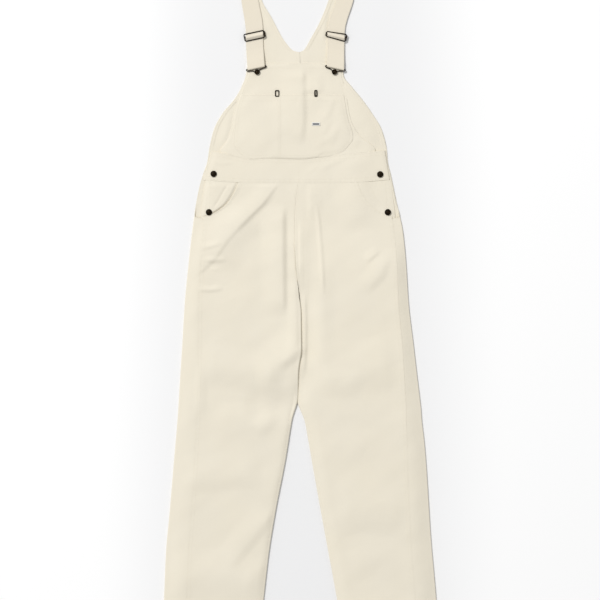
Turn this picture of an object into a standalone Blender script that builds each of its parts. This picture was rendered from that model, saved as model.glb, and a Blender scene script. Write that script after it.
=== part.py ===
"""Painter's bib overalls lying flat on their back, front side up.

Run with: blender --background --python part.py
+X is the wearer's left, +Y runs up to the straps and +Z is up from the surface.
Tables are in millimetres, measured from the middle of the waist seam, and MM turns
them into metres. Last of all the garment is moved so that the origin lies on the
surface, under the middle of its outline.
"""
import math

import bmesh
import bpy
from mathutils import Vector

MM = 0.001

# Cloth and seams
CLOTH = 1.3             # one thickness of heavy cotton drill
STRAP_CLOTH = 1.6       # a strap is drill folded double and pressed
SEAM_GAP = 0.3          # clearance between pieces that are sewn together
FOLD_RADIUS = 2.0       # soft fold where the back wraps round each side
BACK_LEVEL = CLOTH / 2  # middle of the cloth that lies on the surface
FIRST_LAYER = BACK_LEVEL + CLOTH + SEAM_GAP
SECOND_LAYER = FIRST_LAYER + CLOTH + SEAM_GAP

# Lengths along the garment
HEM_Y = -1144.0
CROTCH_Y = -385.0
SIDE_OPENING_Y = -79.0
BIB_FLARE_Y = 126.0     # below this the bib widens towards the waistband
STRAP_ROOT_Y = 445.0
SHOULDER_Y = 519.0

# Hardware
STRAP_WIDTH = 40.0
SLIDER_WIDTH = 47.6
SLIDER_HEIGHT = 16.4
SLIDER_WIRE = 1.1
SLIDER_LEVEL = 6.7
BUCKLE_WIRE = 1.2
BUCKLE_BAR_Y = 271.0
BUCKLE_BAR_LEVEL = 6.7
BUCKLE_SLOT_RADIUS = 4.8
BUCKLE_SLOT_DROP = 1.9  # the slot lies this much lower than the bar
BUTTON_DROP = 11.0
BIB_BUTTON_RADIUS = 6.5
BIB_BUTTON_HEAD = 6.3   # level of the underside of the head
BIB_BUTTON_THICKNESS = 2.4
SIDE_BUTTON_RADIUS = 7.5
SIDE_BUTTON_THICKNESS = 2.6
SIDE_BUTTON_STAND = 0.5
BUTTON_POST_RADIUS = 2.5
CLIP_LENGTH = 13.5
CLIP_WIRE = 0.8
TAB_X = 42.0
TAB_Y = 138.0
TAB_WIDTH = 20.0
TAB_HEIGHT = 8.0
TAB_CLOTH = 0.8

# Half width of the garment on each side, outline and folded flank.
# side: silhouette, flank: how far the back shows in front of the fold,
# inseam: inner edge of the leg, positive away from the midline.
RIGHT_HALF = [
    dict(y=-1144, side=327, flank=55, inseam=100),
    dict(y=-980, side=315, flank=53, inseam=81),
    dict(y=-867, side=310, flank=52, inseam=68),
    dict(y=-768, side=301, flank=50, inseam=52),
    dict(y=-649, side=291, flank=47, inseam=29),
    dict(y=-557, side=283, flank=44, inseam=14),
    dict(y=-512, side=280, flank=42, inseam=4),
    dict(y=-446, side=276, flank=40, inseam=2.4),
    dict(y=-385, side=272, flank=37, inseam=-4.6),
    dict(y=-284, side=266, flank=32, inseam=-3.6),
    dict(y=-190, side=257, flank=28, inseam=5),
    dict(y=-110, side=248, flank=24, inseam=8.6),
    dict(y=-48, side=239, flank=19, inseam=6),
    dict(y=0, side=229, flank=15, inseam=0.4),
    dict(y=23, side=222, flank=10, inseam=-1),
]
LEFT_HALF = [
    dict(y=-1144, side=337, flank=50, inseam=120),
    dict(y=-980, side=325, flank=49, inseam=92),
    dict(y=-817, side=311, flank=47, inseam=62),
    dict(y=-768, side=308, flank=46, inseam=53),
    dict(y=-673, side=302, flank=44, inseam=36),
    dict(y=-610, side=297, flank=40, inseam=25),
    dict(y=-557, side=291, flank=37, inseam=15),
    dict(y=-530, side=289, flank=35, inseam=4),
    dict(y=-512, side=287, flank=34, inseam=-1.8),
    dict(y=-446, side=279, flank=30, inseam=-1.8),
    dict(y=-385, side=272, flank=27, inseam=5.2),
    dict(y=-284, side=260, flank=24, inseam=4.2),
    dict(y=-190, side=254, flank=22, inseam=-5),
    dict(y=-110, side=246, flank=21, inseam=-8.6),
    dict(y=-48, side=232, flank=17, inseam=-6),
    dict(y=0, side=222, flank=14, inseam=-0.4),
    dict(y=23, side=217, flank=9, inseam=1),
]

# How the fold turns up below each side opening.
# turn: angle of the fold in degrees, reach: part of the flank that is reached.
SIDE_FOLD = [
    dict(y=-88, turn=180, reach=1.0),
    dict(y=-84, turn=180, reach=0.85),
    dict(y=-82, turn=172, reach=0.3),
    dict(y=-80, turn=160, reach=0.0),
    dict(y=-74, turn=90, reach=0.0),
    dict(y=-62, turn=25, reach=0.0),
    dict(y=-46, turn=0, reach=0.0),
]

# Back above the waist. armhole: outer edge, seam: centre back or neck edge.
RIGHT_BACK = [
    dict(y=0, armhole=229, seam=-0.2),
    dict(y=23, armhole=222, seam=-0.8),
    dict(y=48, armhole=213, seam=-1.6),
    dict(y=81, armhole=208, seam=-3),
    dict(y=126, armhole=197, seam=-5),
    dict(y=165, armhole=176, seam=-6.5),
    dict(y=197, armhole=149, seam=-7.5),
    dict(y=226, armhole=132, seam=-7.8),
    dict(y=250, armhole=123, seam=-7.5),
    dict(y=282, armhole=118, seam=-5.5),
    dict(y=300, armhole=117, seam=-4.2),
    dict(y=307.4, armhole=117, seam=-3.8),
    dict(y=308.4, armhole=117, seam=3),
    dict(y=310, armhole=117, seam=9),
    dict(y=313.5, armhole=117, seam=15),
    dict(y=325, armhole=117, seam=25),
    dict(y=340, armhole=118, seam=36),
    dict(y=387, armhole=122, seam=61),
    dict(y=430, armhole=127, seam=85),
    dict(y=444.7, armhole=129.5, seam=88),
]
LEFT_BACK = [
    dict(y=0, armhole=222, seam=0.2),
    dict(y=23, armhole=217, seam=1.1),
    dict(y=48, armhole=211, seam=1.9),
    dict(y=81, armhole=208, seam=3.3),
    dict(y=126, armhole=196, seam=5.3),
    dict(y=165, armhole=173, seam=6.8),
    dict(y=197, armhole=150, seam=7.8),
    dict(y=226, armhole=126, seam=8.1),
    dict(y=250, armhole=108, seam=7.8),
    dict(y=282, armhole=104, seam=5.8),
    dict(y=300, armhole=103, seam=4.2),
    dict(y=307.4, armhole=103, seam=4),
    dict(y=308.6, armhole=103, seam=7),
    dict(y=310.4, armhole=103, seam=11),
    dict(y=313.5, armhole=103, seam=15),
    dict(y=336, armhole=104, seam=28),
    dict(y=376, armhole=108, seam=50),
    dict(y=430, armhole=115, seam=72),
    dict(y=444.7, armhole=118, seam=76.5),
]

# Curved opening of each hip pocket, the outer edge of the front above the outseam.
POCKET_OPENING = [
    dict(y=0, x=140),
    dict(y=-12, x=144),
    dict(y=-30, x=153),
    dict(y=-47, x=165),
    dict(y=-58, x=177),
    dict(y=-66, x=189),
    dict(y=-72, x=200),
    dict(y=-76, x=210),
    dict(y=-79, x=221),
]

# Height of the front cloth: at the inner edge, in the middle and at the outseam.
# curl: how far the inner edge rolls over, in degrees, and its radius.
RIGHT_LEVELS = [
    dict(y=-1144, inner=3.9, middle=4.3, side=4.65, curl=90, radius=2.1),
    dict(y=-560, inner=4.3, middle=4.0, side=4.65, curl=90, radius=2.1),
    dict(y=-530, inner=6.0, middle=4.1, side=4.65, curl=110, radius=2.2),
    dict(y=-505, inner=8.8, middle=4.2, side=4.65, curl=150, radius=2.0),
    dict(y=-310, inner=8.8, middle=4.2, side=4.65, curl=150, radius=2.0),
    dict(y=-265, inner=6.6, middle=4.1, side=4.65, curl=90, radius=1.8),
    dict(y=-225, inner=4.4, middle=3.95, side=4.65, curl=0, radius=1.6),
    dict(y=-104, inner=3.85, middle=3.95, side=4.65, curl=0, radius=1.6),
    dict(y=-79, inner=3.85, middle=3.9, side=3.95, curl=0, radius=1.6),
    dict(y=0, inner=3.85, middle=3.85, side=3.85, curl=0, radius=1.6),
]
LEFT_LEVELS = [
    dict(y=-1144, inner=3.9, middle=4.3, side=4.65, curl=90, radius=2.1),
    dict(y=-560, inner=3.9, middle=4.0, side=4.65, curl=90, radius=2.1),
    dict(y=-500, inner=3.2, middle=3.9, side=4.65, curl=90, radius=1.6),
    dict(y=-400, inner=3.2, middle=3.9, side=4.65, curl=80, radius=1.6),
    dict(y=-380, inner=3.2, middle=3.9, side=4.65, curl=0, radius=1.6),
    dict(y=-235, inner=3.4, middle=3.9, side=4.65, curl=0, radius=1.6),
    dict(y=-104, inner=3.85, middle=3.95, side=4.65, curl=0, radius=1.6),
    dict(y=-79, inner=3.85, middle=3.9, side=3.95, curl=0, radius=1.6),
    dict(y=0, inner=3.85, middle=3.85, side=3.85, curl=0, radius=1.6),
]

# Largest folds of the front. A fold runs from a to b, rises by height, and
# falls off over near on its upper left side and over far on its lower right.
LEG_FOLDS = [
    dict(a=(-48, 2), b=(-226, -205), near=40, far=16, height=5.0),
    dict(a=(-110, -72), b=(-195, -177), near=40, far=46, height=2.6),
    dict(a=(-205, -250), b=(-262, -252), near=14, far=16, height=1.6),
    dict(a=(-37, -60), b=(-36, -304), near=22, far=14, height=2.8),
    dict(a=(52, -110), b=(56, -416), near=24, far=32, height=3.0),
    dict(a=(10, -384), b=(-46, -434), near=46, far=16, height=5.0),
    dict(a=(-14, -470), b=(-112, -476), near=46, far=32, height=3.4),
    dict(a=(-44, -568), b=(-190, -555), near=44, far=46, height=2.6),
    dict(a=(-62, -772), b=(-164, -896), near=46, far=24, height=3.2),
    dict(a=(156, -252), b=(210, -166), near=34, far=18, height=3.0),
    dict(a=(46, -450), b=(226, -438), near=80, far=46, height=3.0),
    dict(a=(92, -764), b=(250, -768), near=80, far=66, height=2.6),
    dict(a=(-262, -698), b=(-92, -684), near=60, far=42, height=2.4),
    dict(a=(120, -884), b=(290, -906), near=56, far=60, height=1.6),
    dict(a=(-294, -934), b=(-126, -950), near=56, far=46, height=2.2),
]
BIB_FOLDS = [
    dict(a=(17, 204), b=(2, 92), near=9, far=15, height=2.6),
    dict(a=(44, 212), b=(50, 160), near=22, far=18, height=1.8),
    dict(a=(86, 150), b=(92, 104), near=14, far=12, height=1.4),
    dict(a=(-70, 70), b=(-78, 200), near=42, far=42, height=1.2),
]

# The piece that shows inside the curved opening of a hip pocket.
POCKET_FACING = [
    dict(y=0, inner=122, outer=217),
    dict(y=-24, inner=130, outer=221.5),
    dict(y=-48, inner=143, outer=225),
    dict(y=-68, inner=158, outer=227.5),
    dict(y=-104, inner=176, outer=228),
]

# Waist seam and the top edge of the waistband, across the front.
WAIST = [
    dict(x=-214, seam=6, top=75),
    dict(x=-176, seam=3, top=70),
    dict(x=-143, seam=1, top=62),
    dict(x=-108, seam=0, top=55),
    dict(x=-64, seam=0, top=57),
    dict(x=5, seam=0, top=55),
    dict(x=47, seam=0, top=59),
    dict(x=96, seam=0, top=65),
    dict(x=150, seam=2, top=71),
    dict(x=210, seam=7, top=77),
]
WAISTBAND_LOW_ENDS = (-222.0, 216.0)    # x of its two ends at the waist seam
WAISTBAND_HIGH_ENDS = (-204.0, 204.5)   # and at its top edge
WAISTBAND_PANELS = 18

# Bib and the patch pocket that covers most of it. Edges are x on each side.
BIB = [
    dict(y=282, right=-118, left=104),
    dict(y=254, right=-121, left=103),
    dict(y=223, right=-134, left=111),
    dict(y=181, right=-147, left=118),
    dict(y=150, right=-154, left=124),
    dict(y=126, right=-158, left=135),
    dict(y=106, right=-165, left=151),
    dict(y=90, right=-177, left=176),
    dict(y=78, right=-189, left=185),
]
BIB_POCKET = [
    dict(y=208, right=-134, left=108),
    dict(y=181, right=-141, left=112.5),
    dict(y=150, right=-147, left=118),
    dict(y=128, right=-150, left=125.5),
    dict(y=112, right=-151.5, left=129.5),
    dict(y=101, right=-152, left=129),
    dict(y=91, right=-151, left=122.5),
    dict(y=79, right=-147, left=116),
    dict(y=67, right=-138, left=107.5),
    dict(y=60.5, right=-126, left=93),
    dict(y=58, right=-112, left=76),
]
POCKET_LEAN = 57.0      # the pocket's lower edge follows the waistband's top from this height

# Route of each strap: x of its middle for a given y, on the back and the front.
RIGHT_STRAP = [
    dict(y=260, back=-98, front=-97.5),
    dict(y=331, back=-98, front=-102),
    dict(y=362, back=-100, front=-102.6),
    dict(y=430, back=-106, front=-113),
    dict(y=445, back=-108.8, front=-114.5),
    dict(y=519, back=-122.5, front=-122.5),
]
LEFT_STRAP = [
    dict(y=260, back=88, front=88),
    dict(y=331, back=89, front=89),
    dict(y=362, back=90, front=90),
    dict(y=430, back=93, front=110),
    dict(y=445, back=97.2, front=113),
    dict(y=519, back=127, front=127),
]
SLIDER_Y = 345.0
END_SLANT = math.radians(12)

SIDE_BUTTONS = [
    dict(name="side_button_upper_right", x=-198, y=21),
    dict(name="side_button_lower_right", x=-209, y=-69),
    dict(name="side_button_upper_left", x=193, y=20),
    dict(name="side_button_lower_left", x=211, y=-69),
]


def smooth(value):
    """Ease from 0 to 1."""
    value = min(max(value, 0.0), 1.0)
    return value * value * (3 - 2 * value)


def read(table, column, where, key="y"):
    """Read a column between the rows of a table, without overshoot."""
    rows = sorted(table, key=lambda row: row[key])
    if where <= rows[0][key]:
        return rows[0][column]
    if where >= rows[-1][key]:
        return rows[-1][column]
    slopes = []
    for low, high in zip(rows, rows[1:]):
        slopes.append((high[column] - low[column]) / (high[key] - low[key]))
    index = 0
    while rows[index + 1][key] < where:
        index += 1
    span = rows[index + 1][key] - rows[index][key]
    part = (where - rows[index][key]) / span
    ends = []
    for place in (index, index + 1):
        before = slopes[max(place - 1, 0)]
        after = slopes[min(place, len(slopes) - 1)]
        flat = before * after <= 0
        ends.append(0.0 if flat else 2 * before * after / (before + after))
    square = part * part
    cube = square * part
    start = (2 * cube - 3 * square + 1) * rows[index][column]
    start += (cube - 2 * square + part) * span * ends[0]
    finish = (3 * square - 2 * cube) * rows[index + 1][column]
    finish += (cube - square) * span * ends[1]
    return start + finish


def fold_height(folds, x, y):
    """Height that the listed folds add at a place on the cloth."""
    total = 0.0
    for fold in folds:
        start = Vector(fold["a"])
        run = Vector(fold["b"]) - start
        length = run.length
        run.normalize()
        offset = Vector((x, y)) - start
        along = offset.dot(run)
        across = run.x * offset.y - run.y * offset.x
        downward = across > 0 if run.x + run.y < 0 else across < 0
        reach = fold["far"] if downward else fold["near"]
        end = min(40.0, length / 2)
        taper = smooth((along + end / 2) / end) * smooth((length + end / 2 - along) / end)
        total += fold["height"] * taper * (1 - smooth(abs(across) / reach))
    return total


def settle(x, y):
    """Lower the straight cutting line of the waist onto its sewn curve."""
    return y + read(WAIST, "seam", x, "x") * smooth(1 + min(y, 0) / 60)


def make_sheet(name, rows, columns, place, thickness, material):
    """Bend a grid with place(row, column), in millimetres, and give it thickness."""
    mesh = bpy.data.meshes.new(name)
    grid = bmesh.new()
    bmesh.ops.create_grid(grid, x_segments=columns, y_segments=rows, size=1)
    for vertex in grid.verts:
        column = round((vertex.co.x + 1) / 2 * columns)
        row = round((vertex.co.y + 1) / 2 * rows)
        vertex.co = Vector(place(row, column)) * MM
    bmesh.ops.recalc_face_normals(grid, faces=grid.faces)
    grid.to_mesh(mesh)
    grid.free()
    piece = bpy.data.objects.new(name, mesh)
    overalls.objects.link(piece)
    mesh.materials.append(material)
    shell = piece.modifiers.new("Cloth thickness", "SOLIDIFY")
    shell.thickness = thickness * MM
    shell.offset = 0
    return piece


def make_material(name, color, roughness, metallic=0.0):
    """One plain Principled material."""
    material = bpy.data.materials.new(name)
    material.use_nodes = True
    shader = material.node_tree.nodes["Principled BSDF"]
    shader.inputs["Base Color"].default_value = (*color, 1)
    shader.inputs["Roughness"].default_value = roughness
    shader.inputs["Metallic"].default_value = metallic
    return material


def make_back_half(name, half, upper, sign):
    """One half of the back, from hem to strap, wrapped round the side of the leg."""
    low = [-1144, -1060, -980, -900, -830, -768, -710, -650, -600, -557, -530, -512]
    low += [-475, -440, -410, -385, -340, -300, -250, -200, -150, -120]
    low += [row["y"] for row in SIDE_FOLD]
    high = [row["y"] for row in upper]
    stations = low + high
    bottom, turned, flank = 4, 4, 2
    arc = math.pi * FOLD_RADIUS

    def place(row, column):
        y = stations[row]
        if y < 0:
            edge = read(half, "side", y)
            if y < CROTCH_Y:
                inner = read(half, "inseam", y) + SEAM_GAP / 2
            else:
                lean = smooth((y - CROTCH_Y) / 60)
                inner = read(half, "inseam", y) * (1 - lean) + upper[0]["seam"] * lean
                inner += SEAM_GAP / 2
        else:
            edge = read(upper, "armhole", y)
            inner = read(upper, "seam", y) + SEAM_GAP / 2
        turn = math.radians(read(SIDE_FOLD, "turn", y))
        limit = min(turn, math.pi / 2)
        extent = arc if turn < 0.01 else arc / turn * math.sin(limit)
        corner = edge - CLOTH / 2 - extent
        if column <= bottom:
            x = inner + (corner - inner) * column / bottom
            return sign * x, y, BACK_LEVEL
        step = min(column - bottom, turned) / turned
        if turn < 0.01:
            x, z = corner + arc * step, BACK_LEVEL
        else:
            x = corner + arc / turn * math.sin(turn * step)
            z = BACK_LEVEL + arc / turn * (1 - math.cos(turn * step))
        if column > bottom + turned:
            reach = read(half, "flank", y) - CLOTH / 2 - FOLD_RADIUS - SEAM_GAP / 2
            reach *= read(SIDE_FOLD, "reach", y)
            part = (column - bottom - turned) / flank
            x += math.cos(turn) * max(reach, 1.0) * part
            z += math.sin(turn) * max(reach, 1.0) * part
            z += fold_height(LEG_FOLDS, sign * x, y) * smooth((edge - x) / 20 - 0.2)
        return sign * x, y, z

    columns = bottom + turned + flank
    return make_sheet(name, len(stations) - 1, columns, place, CLOTH, drill)


def front_edge(half, y):
    """Outer edge of a front leg: the pocket opening, then the outseam."""
    outseam = read(half, "side", y) - read(half, "flank", y) - SEAM_GAP / 2
    if y >= SIDE_OPENING_Y:
        return read(POCKET_OPENING, "x", y)
    return POCKET_OPENING[-1]["x"] + (outseam - POCKET_OPENING[-1]["x"]) * smooth(
        (SIDE_OPENING_Y - y) / 10
    )


def front_level(half, levels, x, y, sign):
    """Height of the middle of the front cloth above the surface."""
    inner = read(half, "inseam", y)
    outer = front_edge(half, y)
    middle = read(levels, "middle", y)
    z = middle
    z += (read(levels, "inner", y) - middle) * (1 - smooth((x - inner - 4) / 42))
    z += (read(levels, "side", y) - middle) * (1 - smooth((outer - x) / 34))
    side = read(half, "side", y)
    fade = smooth((side - x) / 20 - 0.2) * smooth((x - inner) / 12) * smooth(-y / 10)
    return z + fold_height(LEG_FOLDS, sign * x, y) * fade


def make_front_leg(name, half, levels, sign):
    """One front leg, from the waist seam to the hem."""
    stations = [0, -12, -24, -36, -47, -56, -64, -70, -75, -79, -84, -90, -97, -106]
    stations += [-125, -150, -175, -200, -235, -265, -300, -340, -375, -395, -415]
    stations += [-445, -475, -505, -518, -532, -557, -600, -650, -710, -768, -830]
    stations += [-900, -980, -1060, -1144]
    curled, flat = 3, 13

    def place(row, column):
        y = stations[row]
        inner = read(half, "inseam", y) + SEAM_GAP / 2
        curl = math.radians(read(levels, "curl", y))
        radius = read(levels, "radius", y)
        overhang = 4.0 * smooth(curl / math.radians(60) - 1.5)
        rolled = radius * math.sin(min(curl, math.pi / 2)) + CLOTH / 2 * smooth(curl)
        start = inner - overhang + rolled
        if column < curled:
            step = (curled - column) / curled
            z = front_level(half, levels, start, y, sign)
            if curl < 0.02:
                x = start + 0.8 * (1 - step)
            else:
                x = start - radius * math.sin(curl * step)
                z -= radius * (1 - math.cos(curl * step))
            return sign * x, settle(sign * x, y - SEAM_GAP / 2), z
        if curl < 0.02:
            start += 0.8
        part = (column - curled) / flat
        x = start + (front_edge(half, y) - start) * part
        z = front_level(half, levels, x, y, sign)
        return sign * x, settle(sign * x, y - SEAM_GAP / 2), z

    return make_sheet(name, len(stations) - 1, curled + flat, place, CLOTH, drill)


def make_pocket_facing(name, sign):
    """The cloth behind a hip pocket's opening."""
    rows = POCKET_FACING

    def place(row, column):
        y = rows[row]["y"]
        x = rows[row]["inner"] + (rows[row]["outer"] - rows[row]["inner"]) * column / 4
        return sign * x, settle(sign * x, y - SEAM_GAP / 2), FIRST_LAYER

    return make_sheet(name, len(rows) - 1, 4, place, CLOTH, drill)


def waistband_x(column, part):
    """The x of a waistband column, at a share of its height. The bib's seam shares them."""
    low, high = WAISTBAND_LOW_ENDS, WAISTBAND_HIGH_ENDS
    first = low[0] + (high[0] - low[0]) * part
    last = low[1] + (high[1] - low[1]) * part
    return first + (last - first) * column / WAISTBAND_PANELS


def make_waistband():
    """The band between the bib and the front legs, buttoned at both sides."""
    up = 3

    def place(row, column):
        x = waistband_x(column, row / up)
        low = read(WAIST, "seam", x, "x") + SEAM_GAP / 2
        high = read(WAIST, "top", x, "x") - SEAM_GAP / 2
        y = low + (high - low) * row / up
        return x, y, SECOND_LAYER

    return make_sheet("waistband", up, WAISTBAND_PANELS, place, CLOTH, drill)


def bib_level(x, y):
    """Height of the middle of the bib cloth."""
    drop = smooth((y - 70) / 180)
    return SECOND_LAYER + (2.6 - SECOND_LAYER) * drop


def make_bib():
    """The bib, from the waistband to the buttons."""
    across = WAISTBAND_PANELS - 2

    def place(row, column):
        station = BIB[row]
        part = column / across
        x = station["right"] + (station["left"] - station["right"]) * part
        y = station["y"]
        if row == len(BIB) - 1:
            x = waistband_x(column + 1, 1)
            y = read(WAIST, "top", x, "x") + SEAM_GAP / 2
        elif y < BIB_FLARE_Y:
            base = read(WAIST, "top", x, "x") + SEAM_GAP / 2
            y = base + (y - BIB[-1]["y"]) * (BIB_FLARE_Y - base) / (BIB_FLARE_Y - BIB[-1]["y"])
        return x, y, bib_level(x, y)

    return make_sheet("bib", len(BIB) - 1, across, place, CLOTH, drill)


def pocket_level(x, y):
    """Height of the middle of the patch pocket's cloth."""
    lift = fold_height(BIB_FOLDS, x, y)
    return bib_level(x, y) + CLOTH + SEAM_GAP + 0.2 + lift


def make_bib_pocket():
    """The wide patch pocket on the bib, with rounded lower corners."""
    across = 12

    def place(row, column):
        station = BIB_POCKET[row]
        part = column / across
        x = station["right"] + (station["left"] - station["right"]) * part
        lean = read(WAIST, "top", x, "x") - POCKET_LEAN
        y = station["y"] + lean * (1 - smooth((station["y"] - BIB_POCKET[-1]["y"]) / 40))
        return x, y, pocket_level(x, y)

    return make_sheet("bib_pocket", len(BIB_POCKET) - 1, across, place, CLOTH, drill)


def strap_path():
    """Height of a strap along its run, from its root on the back to its sewn end.

    side: 0 on the back of the garment, 1 in front. slant: share of the end slant.
    """
    low = STRAP_CLOTH / 2
    run = [dict(y=STRAP_ROOT_Y, z=low, side=0, slant=0)]
    run += [dict(y=475, z=low, side=0, slant=0)]
    run += [dict(y=505, z=low, side=0, slant=0)]
    radius = 1.8
    middle = SHOULDER_Y - STRAP_CLOTH / 2 - radius
    for step in range(5):
        angle = math.radians(-90 + 45 * step)
        y = middle + radius * math.cos(angle)
        z = low + radius + radius * math.sin(angle)
        run.append(dict(y=y, z=z, side=step / 4, slant=0))
    run += [dict(y=500, z=4.3, side=1, slant=0)]
    run += [dict(y=470, z=3.7, side=1, slant=0)]
    run += [dict(y=435, z=3.3, side=1, slant=0.05)]
    run += [dict(y=405, z=3.3, side=1, slant=0.5)]
    run += [dict(y=378, z=3.6, side=1, slant=1)]
    over = SLIDER_LEVEL + SLIDER_WIRE + SEAM_GAP + low
    profile = [(12.5, 4.2), (8.4, 4.2), (4.0, 6.6), (1.4, over), (-1.4, over)]
    profile += [(-4.0, 6.6), (-8.4, 4.3), (-12.5, 4.3)]
    for offset, z in profile:
        run.append(dict(y=SLIDER_Y + offset, z=z, side=1, slant=1))
    run += [dict(y=314, z=4.4, side=1, slant=1)]
    run += [dict(y=301, z=5.6, side=1, slant=1)]
    run += [dict(y=287, z=7.6, side=1, slant=1)]
    around = BUCKLE_WIRE + SEAM_GAP + low
    for step in range(6):
        angle = math.radians(90 + 36 * step)
        y = BUCKLE_BAR_Y + around * math.cos(angle)
        z = BUCKLE_BAR_LEVEL + around * math.sin(angle)
        run.append(dict(y=y, z=z, side=1, slant=1))
    run += [dict(y=290, z=4.3, side=1, slant=1)]
    run += [dict(y=304, z=2.5, side=1, slant=1)]
    run += [dict(y=SLIDER_Y + 6, z=2.4, side=1, slant=1)]
    return run


def strap_middle(route, y, side):
    """The x of a strap's middle line on the back (0) or the front (1)."""
    back = read(route, "back", y)
    return back + (read(route, "front", y) - back) * side


def make_strap(name, route, sign):
    """One strap: up the back, over the shoulder, round the buckle and up to the slider."""
    run = strap_path()
    across = 2

    def place(row, column):
        part = column / across - 0.5
        offset = STRAP_WIDTH * part
        station = run[row]
        slant = -sign * math.tan(END_SLANT) * station["slant"]
        x = strap_middle(route, station["y"], station["side"]) + offset
        return x, station["y"] + slant * offset, station["z"]

    return make_sheet(name, len(run) - 1, across, place, STRAP_CLOTH, drill)


def make_wire(name, points, radius, closed, material):
    """A bent wire as a mesh with welded ends. Points are in millimetres."""
    curve = bpy.data.curves.new(name, "CURVE")
    curve.dimensions = "3D"
    curve.bevel_depth = radius * MM
    curve.bevel_resolution = 2
    curve.resolution_u = 1
    curve.render_resolution_u = 0
    curve.use_fill_caps = not closed
    spline = curve.splines.new("POLY")
    spline.points.add(len(points) - 1)
    for knot, point in zip(spline.points, points):
        knot.co = (*(Vector(point) * MM), 1)
    spline.use_cyclic_u = closed
    source = bpy.data.objects.new(name + " path", curve)
    overalls.objects.link(source)
    graph = bpy.context.evaluated_depsgraph_get()
    mesh = bpy.data.meshes.new_from_object(source.evaluated_get(graph))
    mesh.name = name
    bpy.data.objects.remove(source)
    joined = bmesh.new()
    joined.from_mesh(mesh)
    bmesh.ops.remove_doubles(joined, verts=joined.verts, dist=0.00001)
    bmesh.ops.recalc_face_normals(joined, faces=joined.faces)
    joined.to_mesh(mesh)
    joined.free()
    mesh.shade_smooth()
    mesh.set_sharp_from_angle(angle=math.radians(50))
    mesh.materials.clear()
    mesh.materials.append(material)
    piece = bpy.data.objects.new(name, mesh)
    overalls.objects.link(piece)
    return piece


def round_rectangle(width, height, corner, steps):
    """Points round a rectangle with rounded corners, centred on the origin."""
    points = []
    for turn, (side, end) in enumerate([(1, 1), (-1, 1), (-1, -1), (1, -1)]):
        for step in range(steps + 1):
            angle = math.pi / 2 * (turn + step / steps)
            x = side * (width / 2 - corner) + corner * math.cos(angle)
            y = end * (height / 2 - corner) + corner * math.sin(angle)
            points.append((x, y))
    return points


def turned(points, angle, x, y, z):
    """Turn flat points about +Z and move them to their place."""
    placed = []
    for point in points:
        flat = Vector((*point, 0)[:3])
        px = flat.x * math.cos(angle) - flat.y * math.sin(angle) + x
        py = flat.x * math.sin(angle) + flat.y * math.cos(angle) + y
        placed.append((px, py, flat.z + z))
    return placed


def unite(target, other):
    """Join another closed body to the target with a Boolean."""
    cut = target.modifiers.new("Joined wire", "BOOLEAN")
    cut.operation = "UNION"
    cut.object = other
    cutters.objects.link(other)
    overalls.objects.unlink(other)
    other.hide_render = True
    other.display_type = "WIRE"


def make_slider(name, route, sign):
    """A rectangular wire slider with the bar that the strap rises over."""
    x = strap_middle(route, SLIDER_Y, 1)
    angle = -sign * END_SLANT
    frame = round_rectangle(SLIDER_WIDTH, SLIDER_HEIGHT, 3.0, 3)
    ring = make_wire(name, turned(frame, angle, x, SLIDER_Y, SLIDER_LEVEL), SLIDER_WIRE, True, bronze)
    bar = [(-SLIDER_WIDTH / 2, 0), (SLIDER_WIDTH / 2, 0)]
    bar_points = turned(bar, angle, x, SLIDER_Y, SLIDER_LEVEL)
    middle = make_wire(name + "_bar", bar_points, SLIDER_WIRE * 0.9, False, bronze)
    unite(ring, middle)
    return ring


def make_buckle(name, route, sign):
    """A wire buckle: a bar in the strap's loop and a slot round the bib button."""
    half = [(24.0, -1.6, 0.0), (23.9, -4.4, -0.2), (20.6, -6.0, -0.5)]
    half += [(12.0, -6.6, -1.3), (7.4, -7.4, -BUCKLE_SLOT_DROP)]
    slot = []
    for step in range(1, 8):
        angle = math.radians(45 - 33.75 * (step - 1) * 0.99)
        px = BUCKLE_SLOT_RADIUS * math.cos(angle)
        py = BUCKLE_SLOT_RADIUS * math.sin(angle) - BUTTON_DROP
        slot.append((px, py, -BUCKLE_SLOT_DROP))
    upper = [(-22.4, 0, 0), (22.4, 0, 0)]
    left_side = [(-px, py, pz) for px, py, pz in reversed(half)]
    points = upper + half + slot + left_side
    x = strap_middle(route, BUCKLE_BAR_Y, 1)
    placed = turned(points, -sign * END_SLANT, x, BUCKLE_BAR_Y, BUCKLE_BAR_LEVEL)
    return make_wire(name, placed, BUCKLE_WIRE, True, bronze)


def make_button(name, x, y, foot, head, radius, thickness):
    """A round metal button on a short post, from its foot to its head."""
    mesh = bpy.data.meshes.new(name)
    solid = bmesh.new()
    sides = 24
    profile = [(0, foot), (BUTTON_POST_RADIUS, foot), (BUTTON_POST_RADIUS, head)]
    profile += [(radius - 0.5, head), (radius, head + 0.6)]
    profile += [(radius, head + thickness - 1.0), (radius - 0.9, head + thickness - 0.1)]
    profile += [(radius - 2.2, head + thickness), (0, head + thickness - 0.4)]
    line = [solid.verts.new((px * MM, 0, pz * MM)) for px, pz in profile]
    for low, high in zip(line, line[1:]):
        solid.edges.new((low, high))
    bmesh.ops.spin(
        solid,
        geom=solid.verts[:] + solid.edges[:],
        axis=(0, 0, 1),
        cent=(0, 0, 0),
        angle=2 * math.pi,
        steps=sides,
        use_merge=True,
    )
    bmesh.ops.remove_doubles(solid, verts=solid.verts, dist=0.00001)
    bmesh.ops.recalc_face_normals(solid, faces=solid.faces)
    solid.to_mesh(mesh)
    solid.free()
    mesh.shade_smooth()
    mesh.set_sharp_from_angle(angle=math.radians(40))
    mesh.materials.append(bronze)
    piece = bpy.data.objects.new(name, mesh)
    piece.location = (x * MM, y * MM, 0)
    overalls.objects.link(piece)
    return piece


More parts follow.
